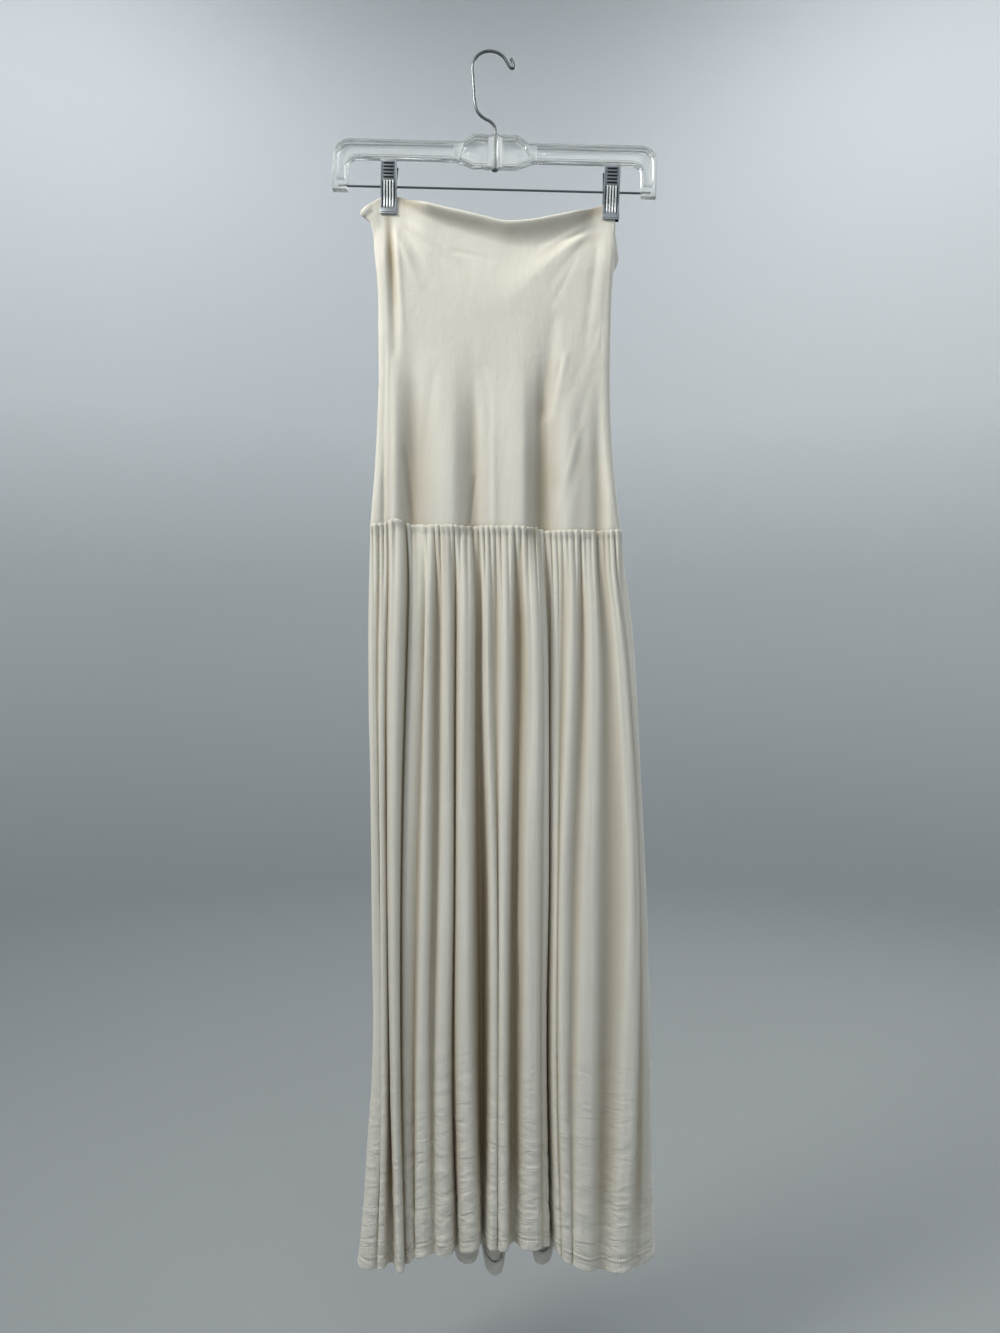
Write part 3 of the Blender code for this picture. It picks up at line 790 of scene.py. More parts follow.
    def pinch(self, x: Array, drop: Array) -> Array:
        """1 where a clip presses the layers together, falling to 0 away from it.

        Args:
            x: Places across, in mm.
            drop: How far each point lies below the top edge, in mm.

        Returns:
            A share for each point.
        """
        low = 1.0 - ease((drop - 20.0) / 50.0)
        grips = [(1.0 - ease((np.abs(x - at) - 16.0) / 30.0)) * low for at in self.clip_x]
        return np.maximum(*grips)

    def face_y(self, part: Part, x: Array, z: Array, share: float) -> Array:
        """Middle of the wall away from the side turns.

        Args:
            part: Front or back.
            x: Places across, in mm.
            z: Heights, in mm.
            share: Share of the way down the panel.

        Returns:
            Y in mm.
        """
        drop = Outline.top(x) - z
        rise = self.relief(part, x, z, share) - self.cowl(part, x, drop)
        rise += self.edge_lift[part] * bell(drop / 9.0) + 0.7 * bell((drop - 1.6) / 1.5)
        rise -= 1.3 * bell((z - Outline.waist(x)) / 3.5)
        out = np.maximum(self.flat_face[part] + rise, self.pinched)
        out = mix(out, self.pinched, self.pinch(x, drop))
        return part.value * (out + self.ear(x, z) if part is Part.FRONT else out)

    def shade_under_edge(self, part: Part, points: Array) -> Array:
        """Painted shade under the top edge, and in the crease below the left clip, added to the
        fold depth.

        Args:
            part: Front or back.
            points: Rows by columns by x, y, z in mm.

        Returns:
            A share for each point.
        """
        x, z = points[:, :, 0], points[:, :, 2]
        drop = Outline.top(x) - z
        near = bell((drop - 8.0) / 9.0) * ease((drop - 2.0) / 3.0)
        shade = 0.04 * self.cowl_value(self.cowl_depth[part], x) * near
        if part is Part.FRONT:
            run = np.clip((-180.0 - z) / 110.0, 0.0, 1.0)
            line = bell((x + 112.5 - 8.0 * run) / 3.6)
            shade += 0.6 * ease((-176.0 - z) / 8.0) * (1.0 - run) * line
        return shade

    def ear(self, x: Array, z: Array) -> Array:
        """Puff and folds of the loose corner left of the left clip, in mm outwards.

        Args:
            x: Places across, in mm.
            z: Heights, in mm.

        Returns:
            Relief for each point.
        """
        puff = 3.4 * bell((x + 131.0) / 6.5) * bell((z + 180.0) / 15.0)
        fold = 1.7 * bell((x + 126.5 + 0.35 * (z + 180.0)) / 2.2) * bell((z + 178.0) / 13.0)
        line = 1.3 * bell((x + 133.5 - 0.25 * (z + 186.0)) / 1.8) * bell((z + 188.0) / 11.0)
        return (puff - fold - line) * (1.0 - ease((x + 124.0) / 4.0))

    def side_fold(self, z: float) -> float:
        """How far the back's cloth stands out beyond the right side under the clip, in mm."""
        run = ease((-182.0 - z) / 12.0) * (1.0 - ease((-234.0 - z) / 14.0))
        return float(4.6 * run + 2.0 * bell((z + 228.0) / 6.0))

    def side_turn(self, part: Part, edge: float, into: float, face: float,
                  fold: float = 0.0) -> Array:
        """Points that turn from the side seam onto the face.

        Args:
            part: Front or back.
            edge: X of the side.
            into: 1 at the left side, -1 at the right.
            face: Y of the face where the turn ends.
            fold: How far the cloth stands out beyond the side before it turns.

        Returns:
            Points x, y from the seam to the face.
        """
        depth = abs(face)
        angle = math.radians(90.0) * float(ease((depth - self.pinched) / 3.0))
        start_y = self.seam_half_gap + 0.5 * self.wall * math.cos(angle)
        next_x, next_y = 1.2 * math.cos(angle), start_y + 1.2 * math.sin(angle)
        slant = (depth - next_y) / max(math.tan(angle), 0.01)
        bend_x = next_x + min(0.5 * self.turn_reach, max(0.0, slant))
        u = np.linspace(0.0, 1.0, 9)
        x = (1 - u)**2 * next_x + 2 * u * (1 - u) * bend_x + u * u * self.turn_reach
        y = (1 - u)**2 * next_y + (2 * u * (1 - u) + u * u) * depth
        x, y = np.concatenate([[0.0], x]), np.concatenate([[start_y], y])
        x -= fold * np.sin(np.linspace(0.0, math.pi, len(x)))
        return np.stack([edge + into * x, part.value * y], axis=1)

    def points(self, part: Part) -> Array:
        """Rows by columns by x, y, z in mm.

        Args:
            part: Front or back.

        Returns:
            Rows from the top edge to the seam.
        """
        grid = []
        for share in uneven_steps((0.16, 36), (0.96, 84), (1.0, 12)):
            z = mix(self.top_z, self.seam_z, share)
            left, right = float(Outline.left(z)), float(Outline.right(z))
            xs = np.linspace(left + self.turn_reach, right - self.turn_reach, self.flat_columns)
            zs = mix(Outline.top(xs), Outline.waist(xs), share)
            ys = self.face_y(part, xs, zs, share)
            start = self.side_turn(part, left, 1.0, ys[0])
            out = self.side_fold(z) if part is Part.BACK else 0.0
            end = self.side_turn(part, right, -1.0, ys[-1], out)
            line = np.concatenate([start[:-1], np.stack([xs, ys], axis=1), end[-2::-1]])
            across = np.clip((line[:, 0] - left) / (right - left), 0.0, 1.0)
            top = Outline.top.along(across)
            low = Outline.waist.along(across) + self.seam_half_gap
            grid.append(np.column_stack([line, mix(top, low, share)]))
        return np.array(grid)

    def build(self, part: Part) -> None:
        """Args:
            part: Front or back.
        """
        points = self.points(part)
        cut = np.stack([reach_along(points, 1), reach_along(points, 0)], axis=2)
        depth = fold_depth(points, part.value, self.fold_reach, self.fold_scale)
        # Painted shade under the top edge and below the left clip
        depth += self.shade_under_edge(part, points)
        piece = cloth_piece(f"jersey_bodice_{part.place}", points, cut, depth, self.wall,
                            self.material, f"bodice_{part.place}")


@dataclass
class Skirt:
    """Gathered skirt panels, front and back, with a turned-up, twice stitched hem."""

    material: Material
    bodice: Bodice
    wall: float = 1.1
    columns: int = 310
    gathers: int = 46
    crease_count: int = 110
    pucker_count: int = 520
    seam_half_gap: float = 0.15
    seam_roll: float = 1.0
    seam_stand: float = 2.8
    pleat_depth: float = 2.3
    fold_reach: int = 12
    fold_scale: float = 8.0
    seam_z: float = -527.0
    hip_z: float = -560.0
    hem_z: float = -1310.0
    height: float = 785.0

    seam_x = {Part.FRONT: -120.0, Part.BACK: 128.0}
    levels = (0.05, 0.22, 0.48, 0.755, 1.0)     # of the folds' hip, thigh, knee, shin and hem
    folds = {
        Part.FRONT: tuple(Fold(*row) for row in (
            (-128, -128, -124, -121, -132, 2.7, 6.9, -10, -24, -8, -20, 0),
            (-116, -118, -116, -114, -117, 2.7, 4.2, -14, -24, -11, -9, 1),
            (-98, -101, -103, -101, -95, 8.7, 4.5, -21, -36, -6, -19, 3),
            (-79, -82, -87, -88, -85, 7.6, 3.2, -12, -25, -10, -22, 0),
            (-65, -67, -70, -73, -73, 3.3, 6.4, -17, -34, -7, -25, 0),
            (-46, -46, -46, -49, -47, 5.5, 8.5, -17, -34, -9, -14, 1),
            (-26, -26, -26, -25, -20, 8.2, 11.1, -20, -42, -7, -8, 2),
            (-3, -3, 3, 4, 2, 2.7, 4.8, -15, -40, -9, -34, 0),
            (18, 18, 16, 15, 15, 6, 4.2, -18, -42, -7, -22, 1),
            (45, 48, 44, 43, 44, 8.7, 10.6, -21, -42, -17, -31, 0),
            (57, 62, 62, 59, 62, 1.6, 3.4, -16, -31, -5, -11, 3),
            (73, 72, 71, 69, 74, 3.3, 2.7, -11, -38, -10, -37, 0),
            (91, 88, 80, 78, 82, 4.9, 4.2, -17, -47, -9, -43, 0),
            (110, 113, 108, 102, 99, 5.5, 9.5, -18, -50, -10, -38, 0),
            (134, 145, 153, 147, 138, 4.9, 9.5, -18, -47, -13, -36, 0),
            (144, 156, 166, 170, 170, 1.6, 4.8, -13, -31, 0, 0, 0),
        )),
        Part.BACK: tuple(Fold(*row) for row in (
            (-124, -125, -124, -123, -125, 3.6, 7.5, 10, 17, 4, 5, 0),
            (-107, -108, -107, -106, -106, 3, 4.2, 14, 16, 6, 8, 0),
            (-86, -85, -83, -80, -77, 6.2, 9.6, 12, 21, 3, 4.5, 0),
            (-58, -55, -51, -47, -46, 3.4, 6.2, 15, 18, 6, 7, 0),
            (-38, -35, -27, -18, -11, 3.3, 3, 12, 18, 4, 5.5, 0),
            (-12, -7, 5, 18, 29, 6.5, 11, 13, 20, 4, 5.5, 0),
            (15, 24, 42, 61, 77, 5.5, 8.5, 13, 20, 4, 5.5, 0),
            (46, 59, 74, 90, 102, 3.2, 4.4, 15, 17, 6, 8, 0),
            (71, 87, 101, 114, 126, 6.4, 8.4, 11, 21, 3, 4.5, 0),
            (102, 115, 128, 138, 148, 3.4, 3.8, 14, 17, 5, 7, 0),
            (127, 140, 152, 161, 167, 5, 5, 11, 17, 0, 0, 0),
        )),
    }

    def control(self, part: Part, level: float, z: float) -> Array:
        """Control points x, y across a panel at a share of its height.

        Args:
            part: Front or back.
            level: Share of the panel's height, 0 at the seam.
            z: Height of that level in mm.

        Returns:
            Rows of x, y.
        """
        low, slide = float(ease((level - 0.05) / 0.95)), float(ease((level - 0.05) / 0.3))
        left, right = float(Outline.left(z)), float(Outline.right(z))
        crests = [
            (float(track(self.levels, f[:5], level)), mix(f.half_top, f.half_low, low),
             mix(f.out_top, f.out_low, low), mix(f.gap_top, f.gap_low, low), f.tuck)
            for f in self.folds[part]
        ]
        turn = mix(4.0, 9.0, low)
        turns = [part.value * y for y in (self.seam_half_gap, 0.5 * turn, turn)]
        points = [(left, y) for y in turns]
        for k, (x, half, out, gap, tuck) in enumerate(crests):
            points += [(x - half, out), (x + half, out)]
            if k < len(crests) - 1:
                start, end = x + half, crests[k + 1][0] - crests[k + 1][1]
                inset, back = 0.25 * (end - start), tuck * slide
                points += [(start + inset - back, gap), (end - inset - back, gap)]
        points += [(right, y) for y in turns[::-1]]
        return np.array(points, float)

    def column_spread(self, hip: Array) -> Array:
        """Spline parameter of each column, between even in the spline and even in x.

        Args:
            hip: Control points at the hip.

        Returns:
            A parameter for each column.
        """
        spans = len(hip) - 1
        fine = np.linspace(0.0, spans, 4001)
        xs = np.maximum.accumulate((spline_basis(len(hip), fine) @ hip)[:, 0])
        even = np.interp(np.linspace(xs[0], xs[-1], self.columns), xs, fine)
        return 0.5 * even + 0.5 * np.linspace(0.0, spans, self.columns)

    def pleats(self, part: Part, share: Array) -> tuple[Array, Array]:
        """Small uneven pleats drawn up at the waist seam.

        Args:
            part: Front or back.
            share: Place of each column along the seam, 0 to 1.

        Returns:
            For each column its depth, from about -1 on a crest to 1 in a sharp valley, and how far
            down in mm its pleat runs.
        """
        rng = np.random.default_rng(11 if part is Part.FRONT else 12)
        wander = np.interp(share, np.linspace(0.0, 1.0, 24), rng.uniform(-0.42, 0.42, 24))
        phase = share * self.gathers + wander
        which = np.floor(phase).astype(int) % 97
        strength = rng.uniform(0.6, 1.3, 97)[which]
        length = rng.uniform(25.0, 120.0, 97)[which]
        wave = 1.0 - 2.0 * np.abs(np.sin(np.pi * phase))**0.75
        return strength * wave * self.away_from_sides(), length

    def away_from_sides(self) -> Array:
        """0 at the side seams, rising to 1 within eight columns."""
        at = np.arange(self.columns)
        return ease(np.minimum(at, at[::-1]) / 8.0)

    def seam_and_hem(self, part: Part, cut: Array, hip_x: Array) -> Array:
        """The side seam that hangs a little way round, and the stitched hem with its twist.

        Args:
            part: Front or back.
            cut: Rows by columns by place on the flat cloth in mm.
            hip_x: X of each column at the hip.

        Returns:
            Relief in mm outwards.
        """
        u, up = cut[:, :, 0], cut[:, :, 1]
        seam = u[:, np.abs(hip_x - self.seam_x[part]).argmin()][:, None]
        near = (u - seam) / 1.3
        relief = 0.35 * np.sin(up / 1.1 + 1.5 * np.sin(up / 17.0)) * bell(near / 2.0)
        relief += 0.5 * bell((near - 2.2) / 1.2) - bell(near)
        rope = np.sin(u / 1.25 + up / 2.2 + 2.0 * np.sin(u / 31.0))
        relief += 0.28 * rope * ease((Hem.turn_up + 1.0 - up) / 3.0)
        for height in (Hem.stitch_low, Hem.stitch_high):
            relief -= 0.55 * bell((up - height) / 1.1)
        between = 0.5 * (Hem.stitch_low + Hem.stitch_high)
        return relief + 0.35 * bell((up - between) / 1.3)

    def long_creases(self, part: Part, cut: Array) -> Array:
        """Slight lengthwise ridges and hollows between the main folds, in mm outwards.

        Args:
            part: Front or back.
            cut: Rows by columns by place on the flat cloth in mm.

        Returns:
            Relief for each point.
        """
        rng = np.random.default_rng(31 if part is Part.FRONT else 32)
        u, up = cut[:, :, 0], cut[:, :, 1]
        relief = np.zeros_like(u)
        for _ in range(self.crease_count):
            cu, top = rng.uniform(0.0, u.max()), rng.uniform(150.0, 800.0)
            length, width = rng.uniform(60.0, 300.0), rng.uniform(2.0, 4.6)
            height = rng.uniform(0.35, 1.1) * rng.choice([-1.0, 1.0])
            drift = rng.uniform(-0.03, 0.03)
            near = bell((u - cu - drift * (up - top)) / width)
            relief += height * near * bell((up - top + 0.5 * length) / (0.6 * length))
        return relief * self.away_from_sides()[None, :]

    def puckers(self, part: Part, cut: Array) -> Array:
        """Small slack wrinkles that gather towards the hem, in mm outwards.

        Args:
            part: Front or back.
            cut: Rows by columns by place on the flat cloth in mm.

        Returns:
            Relief for each point.
        """
        rng = np.random.default_rng(21 if part is Part.FRONT else 22)
        u, up = cut[:, :, 0], cut[:, :, 1]
        relief = np.zeros_like(u)
        for _ in range(self.pucker_count):
            cu, cv = rng.uniform(0.0, u.max()), 4.0 + 300.0 * rng.uniform()**1.5
            lean = math.radians(rng.normal(0.0, 42.0))
            length, width = rng.uniform(6.0, 24.0), rng.uniform(2.0, 4.4)
            height = rng.uniform(0.2, 0.8) * rng.choice([-1.0, 1.0]) * (1.0 - cv / 360.0)
            near = (np.abs(u - cu) < 3 * length) & (np.abs(up - cv) < 3 * length)
            du, dv = u[near] - cu, up[near] - cv
            a = (du * math.cos(lean) + dv * math.sin(lean)) / length
            b = (dv * math.cos(lean) - du * math.sin(lean)) / width
            relief[near] += height * bell(a) * bell(b)
        return relief

    def hung_grid(self, part: Part, columns: Array, hip_x: Array) -> tuple[Array, Array]:
        """The panel with its folds and gathers, before the finer relief.

        Args:
            part: Front or back.
            columns: Spline parameter of each column.
            hip_x: X of each column at the hip.

        Returns:
            Points in mm, and the depth of the pleats at each column.
        """
        seam = self.bodice.points(part)[-1]
        reach = np.concatenate([[0.0], np.cumsum(np.linalg.norm(np.diff(seam, axis=0), axis=1))])
        even = np.linspace(0.0, 1.0, self.columns)
        share = mix(even, (hip_x - hip_x[0]) / (hip_x[-1] - hip_x[0]), 0.85)
        waist = np.stack([np.interp(share * reach[-1], reach, seam[:, axis])
                          for axis in range(3)], axis=1)
        pleat, length = self.pleats(part, share)
        hem = self.control(part, 1.0, self.hem_z)
        basis = spline_basis(len(hem), columns)
        z_top = waist[:, 2] - 2.0 * self.seam_half_gap
        z_low = Outline.hems[part]((basis @ hem)[:, 0])
        levels = uneven_steps((0.010, 8), (0.090, 26), (0.72, 28), (0.86, 29), (0.978, 50),
                              (1.0, 14))
        grid = np.zeros((len(levels), self.columns, 3))
        for row, level in zip(grid, levels):
            fold = basis @ self.control(part, level, mix(self.seam_z, self.hem_z, level))
            row[:, :2] = mix(waist[:, :2], fold, 1.0 - max(0.0, 1.0 - level / 0.15)**2)
            row[:, 2] = mix(z_top, z_low, level)
        down = levels[:, None] * self.height
        grow = mix(0.45, 1.0, ease(down / 6.0))
        fade = np.exp(-(np.maximum(down - 8.0, 0.0) / length[None, :])**1.2)
        grid[:, :, 1] -= part.value * self.pleat_depth * grow * fade * pleat[None, :]
        return grid, pleat

    def points(self, part: Part) -> tuple[Array, Array]:
        """The panel's surface.

        Args:
            part: Front or back.

        Returns:
            Points in mm, and the place of each on the flat cloth in mm, V up from the hem.
        """
        hip = self.control(part, 0.05, self.hip_z)
        columns = self.column_spread(hip)
        hip_x = np.maximum.accumulate((spline_basis(len(hip), columns) @ hip)[:, 0])
        grid, pleat = self.hung_grid(part, columns, hip_x)
        across = np.tile(reach_along(grid[-1:], 1), (len(grid), 1))
        cut = np.stack([across, reach_along(grid[::-1], 0)[::-1]], axis=2)
        normal = outward_normals(grid, part.value)
        relief = self.puckers(part, cut) + self.long_creases(part, cut)
        relief += self.seam_and_hem(part, cut, hip_x)
        grid += normal * relief[:, :, None]
        return self.turned_edges(part, grid, cut, normal, pleat)

    def turned_edges(self, part: Part, grid: Array, cut: Array, normal: Array,
                     pleat: Array) -> tuple[Array, Array]:
        """Add the rolled top edge at the seam and the turned-up hem inside.

        Args:
            part: Front or back.
            grid: The panel's points, which are moved at the seam.
            cut: Their place on the flat cloth.
            normal: Their outward normals.
            pleat: Depth of the pleats at each column.

        Returns:
            The points and flat places with the new rows.
        """
        inner = self.away_from_sides()
        down = cut[:1, :, 1] - cut[:, :, 1]
        grid[:, :, 1] += part.value * self.seam_stand * bell(down / 4.5) * inner
        grid[:, :, 2] += (1.1 - 0.9 * pleat) * bell(down / 3.5)
        tops, top_cut = [], []
        for a in np.radians((150.0, 112.0, 75.0, 38.0)):
            step = np.zeros_like(grid[0])
            step[:, 1] = -part.value * self.seam_roll * (1.0 - math.cos(a)) * inner
            step[:, 2] = self.seam_roll * math.sin(a)
            tops.append(grid[0] + step)
            top_cut.append(cut[0] + np.array([0.0, self.seam_roll * a]))

        lows, low_cut = [], []
        for a in np.radians((30.0, 70.0, 110.0, 150.0)):
            step = -normal[-2] * (Hem.roll * (1.0 - math.cos(a)))
            step[:, 2] -= Hem.roll * math.sin(a)
            lows.append(grid[-1] + step)
            low_cut.append(cut[-1] - np.array([0.0, Hem.roll * a]))
        turned = [i for i in range(len(grid) - 1, 0, -1) if cut[i, :, 1].mean() < Hem.turn_up]
        for i in turned[::2]:
            lows.append(grid[i] - normal[i] * 2.0 * Hem.roll)
            low_cut.append(cut[-1] - (cut[i] - cut[-1]) * np.array([0.0, 1.0])
                           - np.array([0.0, math.pi * Hem.roll]))
        points = np.concatenate([np.array(tops), grid, np.array(lows)])
        return points, np.concatenate([np.array(top_cut), cut, np.array(low_cut)])

    def build(self, part: Part) -> None:
        """Args:
            part: Front or back.
        """
        points, cut = self.points(part)
        hem_share = 0.4 if part is Part.FRONT else 0.1
        depth = fold_depth(points, part.value, self.fold_reach, self.fold_scale)
        # Less painted fold shade near the hem, least on the back
        depth *= mix(hem_share, 1.0, ease(cut[:, :, 1] / 110.0))
        piece = cloth_piece(f"jersey_skirt_{part.place}", points, cut, depth, self.wall,
                            self.material, f"skirt_{part.place}")


# Hanger

def upright_to_hung() -> Matrix:
    """Turn from the hanger's own upright frame to how it hangs."""
    return Matrix.Rotation(HANG_TILT, 4, "Y")


def refined_copy(name: str, node: str, rounding: float) -> Mesh:
    """A CAD node's shape with its loose triangles merged and its edges rounded.

    Args:
        name: Name of the new mesh.
        node: CAD node to copy.
        rounding: Width of the rounding in mm.

    Returns:
        The new mesh, in the row's frame.
    """
    bm = bmesh.new()
    bm.from_mesh(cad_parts[node].data)
    bmesh.ops.remove_doubles(bm, verts=bm.verts, dist=0.00002)
    bmesh.ops.dissolve_limit(bm, angle_limit=math.radians(2.0), verts=bm.verts, edges=bm.edges)
    sharp = [e for e in bm.edges if e.is_manifold and e.calc_face_angle(0.0) > math.radians(28.0)]
    round_edges(bm, sharp, rounding)
    bmesh.ops.recalc_face_normals(bm, faces=bm.faces)
    mesh = mesh_of(bm, name)
    mesh.materials.clear()
    return mesh


def wire_mesh(name: str, line: Sequence[tuple[float, float, float]], radius: float, sides: int,
              steps: int) -> Mesh:
    """A round wire along a smooth line, in mm of the hanger's frame.

    Args:
        name: Name of the mesh.
        line: Points of its middle line.
        radius: Radius of the wire.
        sides: Faces round it.
        steps: Rings from one point of the line to the next.

    Returns:
        The mesh, as it hangs.
    """
    table = np.array(line, float)
    knots = np.arange(len(table), dtype=float)
    fine = np.linspace(0.0, knots[-1], (len(table) - 1) * steps + 1)
    path = np.stack([track(knots, table[:, axis], fine) for axis in range(3)], axis=1)
    bm = bmesh.new()
    rings: list[list[bmesh.types.BMVert]] = []
    side_way = Vector((0.0, 1.0, 0.0))
    for i, point in enumerate(path):
        ahead = Vector(path[min(i + 1, len(path) - 1)] - path[max(i - 1, 0)]).normalized()
        side_way = (side_way - ahead * side_way.dot(ahead)).normalized()
        turn = Matrix((side_way, ahead.cross(side_way), ahead)).transposed().to_4x4()
        turn.translation = Vector(point) * MM
        rings.append(bmesh.ops.create_circle(bm, cap_ends=i in (0, len(path) - 1), segments=sides,
                                             radius=radius * MM, matrix=turn)["verts"])
    for pair in zip(rings, rings[1:]):
        edges = {e for ring in pair for v in ring for e in v.link_edges if e.other_vert(v) in ring}
        bmesh.ops.bridge_loops(bm, edges=list(edges))
    bmesh.ops.recalc_face_normals(bm, faces=bm.faces)
    round_edges(bm, [e for f in bm.faces if len(f.verts) > 4 for e in f.edges], 0.3 * radius)
    return mesh_of(bm, name, upright_to_hung())


class JawRing(NamedTuple):
    """One level of a clip jaw: drop from its finger end, and outer face of its plate."""

    drop: float
    plate: float


class Bar(NamedTuple):
    """A bar that follows a jaw's plate, in mm: its middle and half its width along the rod, the
    drops where it begins and ends, how far it stands off the plate, and its thickness."""

    x: float
    half: float
    start: float
    end: float
    lift: float
    depth: float


JAW_BARS = {
    "ribs": [Bar(x, 0.8, 22.0, 50.0, 0.75, 1.3) for x in (-4.65, -1.55, 1.55, 4.65)],
    # Dark bars on the plate where its slots are: painted shade for the slots' shadowed depth
    "painted_slot_shade": [Bar(x, 0.6, 22.5, 49.5, 0.15, 0.6) for x in (-6.2, -3.1, 0.0, 3.1, 6.2)]
             + [Bar(0.0, 5.6, drop - 0.8, drop + 0.8, 0.15, 0.6)
                for drop in (4.6, 8.2, 11.8, 15.4, 19.0)],
    "rails": [Bar(x, 0.75, 1.6, 52.0, 0.45, 1.0) for x in (-8.0, 8.0)]
             + [Bar(0.0, 8.6, 51.2, 54.6, 0.55, 1.1)]
             + [Bar(0.0, 6.4, drop - 0.7, drop + 0.7, 0.5, 1.0)
                for drop in (2.8, 6.4, 10.0, 13.6, 17.2, 20.8)],
}


@dataclass
class Hanger:
    """Clear clip hanger: beam, hook with its stop, cross rod and two sprung clips."""

    styrene: Material
    wire: Material
    rod: Material
    plate: Material
    rib_painted_highlight: Material
    spring: Material
    clip_painted_shade: Material
    wire_radius: float = 1.65
    rod_radius: float = 1.2
    rod_half: float = 171.8
    rod_z: float = -150.8
    stem_x: float = 8.6
    clip_top: float = -124.8
    coil_half: float = 4.5
    coil_radius: float = 2.6
    coil_turns: int = 5

    clips = (("left", -107.2), ("right", 137.3))
    hook_line = (
        (8.6, -131.0), (8.6, -120.0), (8.6, -108.0), (8.6, -98.0), (8.6, -92.0), (8.3, -86.0),
        (6.4, -80.2), (2.1, -75.9), (-4.6, -72.4), (-10.1, -67.9), (-13.7, -61.9), (-15.6, -53.0),
        (-16.7, -41.1), (-17.8, -29.2), (-18.7, -19.8), (-18.0, -12.2), (-14.7, -5.2),
        (-8.7, -0.3), (-0.3, 1.65), (7.9, 0.2), (14.6, -4.0), (19.0, -10.2), (22.6, -15.6),
        (25.4, -16.8), (26.8, -14.6), (25.6, -10.6), (22.8, -5.6),
    )
    jaw_rings = (
        JawRing(0.0, -10.4), JawRing(3.0, -10.3), JawRing(12.0, -9.2), JawRing(20.0, -8.0),
        JawRing(26.0, -6.9), JawRing(32.0, -5.5), JawRing(37.0, -4.1), JawRing(41.0, -3.2),
        JawRing(53.5, -3.1), JawRing(56.7, -3.7),
    )

    def build(self) -> None:
        """Make every piece of the hanger."""
        finish_piece(refined_copy("moulded_beam", "hanger_beam", 0.7), self.styrene,
                     "clear_styrene", "hanger_beam")
        line = [(x, 0.0, z) for x, z in self.hook_line]
        finish_piece(wire_mesh("hook_wire", line, self.wire_radius, 20, 5), self.wire, STEEL,
                     "hanger_hook")
        finish_piece(refined_copy("stem_stop", "hook_stop", 0.25), self.wire, STEEL, "hook_stop")
        line = [(self.stem_x + x, 0.0, self.rod_z)
                for x in np.linspace(-self.rod_half, self.rod_half, 7)]
        finish_piece(wire_mesh("cross_rod", line, self.rod_radius, 18, 1), self.rod, STEEL,
                     "hanger_rod")
        for side, x in self.clips:
            self.build_clip(side, x)

    def add_bar(self, bm: BMesh, bar: Bar) -> None:
        """Add one bar on the front jaw.

        Args:
            bm: Bmesh to add to.
            bar: Its place and size.
        """
        before = len(bm.verts)
        made = bmesh.ops.create_cube(bm, size=1.0)["verts"]
        tall = {e for v in made for e in v.link_edges
                if abs(e.verts[0].co.z - e.verts[1].co.z) > 0.5}
        bmesh.ops.subdivide_edges(bm, edges=list(tall), cuts=12)
        bm.verts.ensure_lookup_table()
        drops, plates = zip(*self.jaw_rings)
        for v in bm.verts[before:]:
            drop = mix(bar.start, bar.end, 0.5 - v.co.z)
            y = float(np.interp(drop, drops, plates)) - bar.lift + (v.co.y + 0.5) * bar.depth
            v.co = Vector((bar.x + 2.0 * bar.half * v.co.x, y, self.clip_top - drop)) * MM

    def on_both_jaws(self, name: str, bm: BMesh, x: float) -> Mesh:
        """Round the edges of bars made for the front jaw, and copy them to the back jaw.

        Args:
            name: Name of the mesh.
            bm: The bars; it is used up.
            x: Place of the clip along the rod, in mm.

        Returns:
            The mesh, as it hangs.
        """
        bmesh.ops.recalc_face_normals(bm, faces=bm.faces)
        round_edges(bm, [e for e in bm.edges if e.calc_face_angle(0.0) > math.radians(60.0)], 0.28)
        copy = bmesh.ops.duplicate(bm, geom=bm.verts[:] + bm.edges[:] + bm.faces[:])["geom"]
        verts = [g for g in copy if isinstance(g, bmesh.types.BMVert)]
        bmesh.ops.rotate(bm, verts=verts, matrix=Matrix.Rotation(math.pi, 3, "Z"))
        return mesh_of(bm, name, upright_to_hung() @ Matrix.Translation((x * MM, 0.0, 0.0)))

    def build_clip(self, side: str, x: float) -> None:
        """Make one clip: two pressed jaws with raised ribs, and the spring between them.

        Args:
            side: Left or right, for the names.
            x: Place along the rod in mm.
        """
        # The ribs take white steel as a painted highlight
        finishes = {"ribs": self.rib_painted_highlight, "painted_slot_shade": self.clip_painted_shade, "rails": self.plate}
        # The slot bars take dark steel as painted shade
        for kind, bars in JAW_BARS.items():
            bm = bmesh.new()
            for bar in bars:
                self.add_bar(bm, bar)
            finish_piece(self.on_both_jaws(f"clip_{side}_{kind}", bm, x), finishes[kind], STEEL)

        bm = bmesh.new()
        nodes = [f"clip_{side}_{layer}_jaw" for layer in ("front", "back")]
        for node in nodes:
            jaw = refined_copy("jaw", node, 0.22)
            bm.from_mesh(jaw)
            bpy.data.meshes.remove(jaw)
        # Faces that look inwards, between the jaws, take the dark steel as painted shade
        for face in bm.faces:
            middle = face.calc_center_median().y
            face.material_index = int(face.normal.y * middle < -0.2 * abs(middle))
        jaws = mesh_of(bm, f"clip_{side}_jaws")
        finish_piece(jaws, self.plate, STEEL, *nodes)
        jaws.materials.append(self.clip_painted_shade)

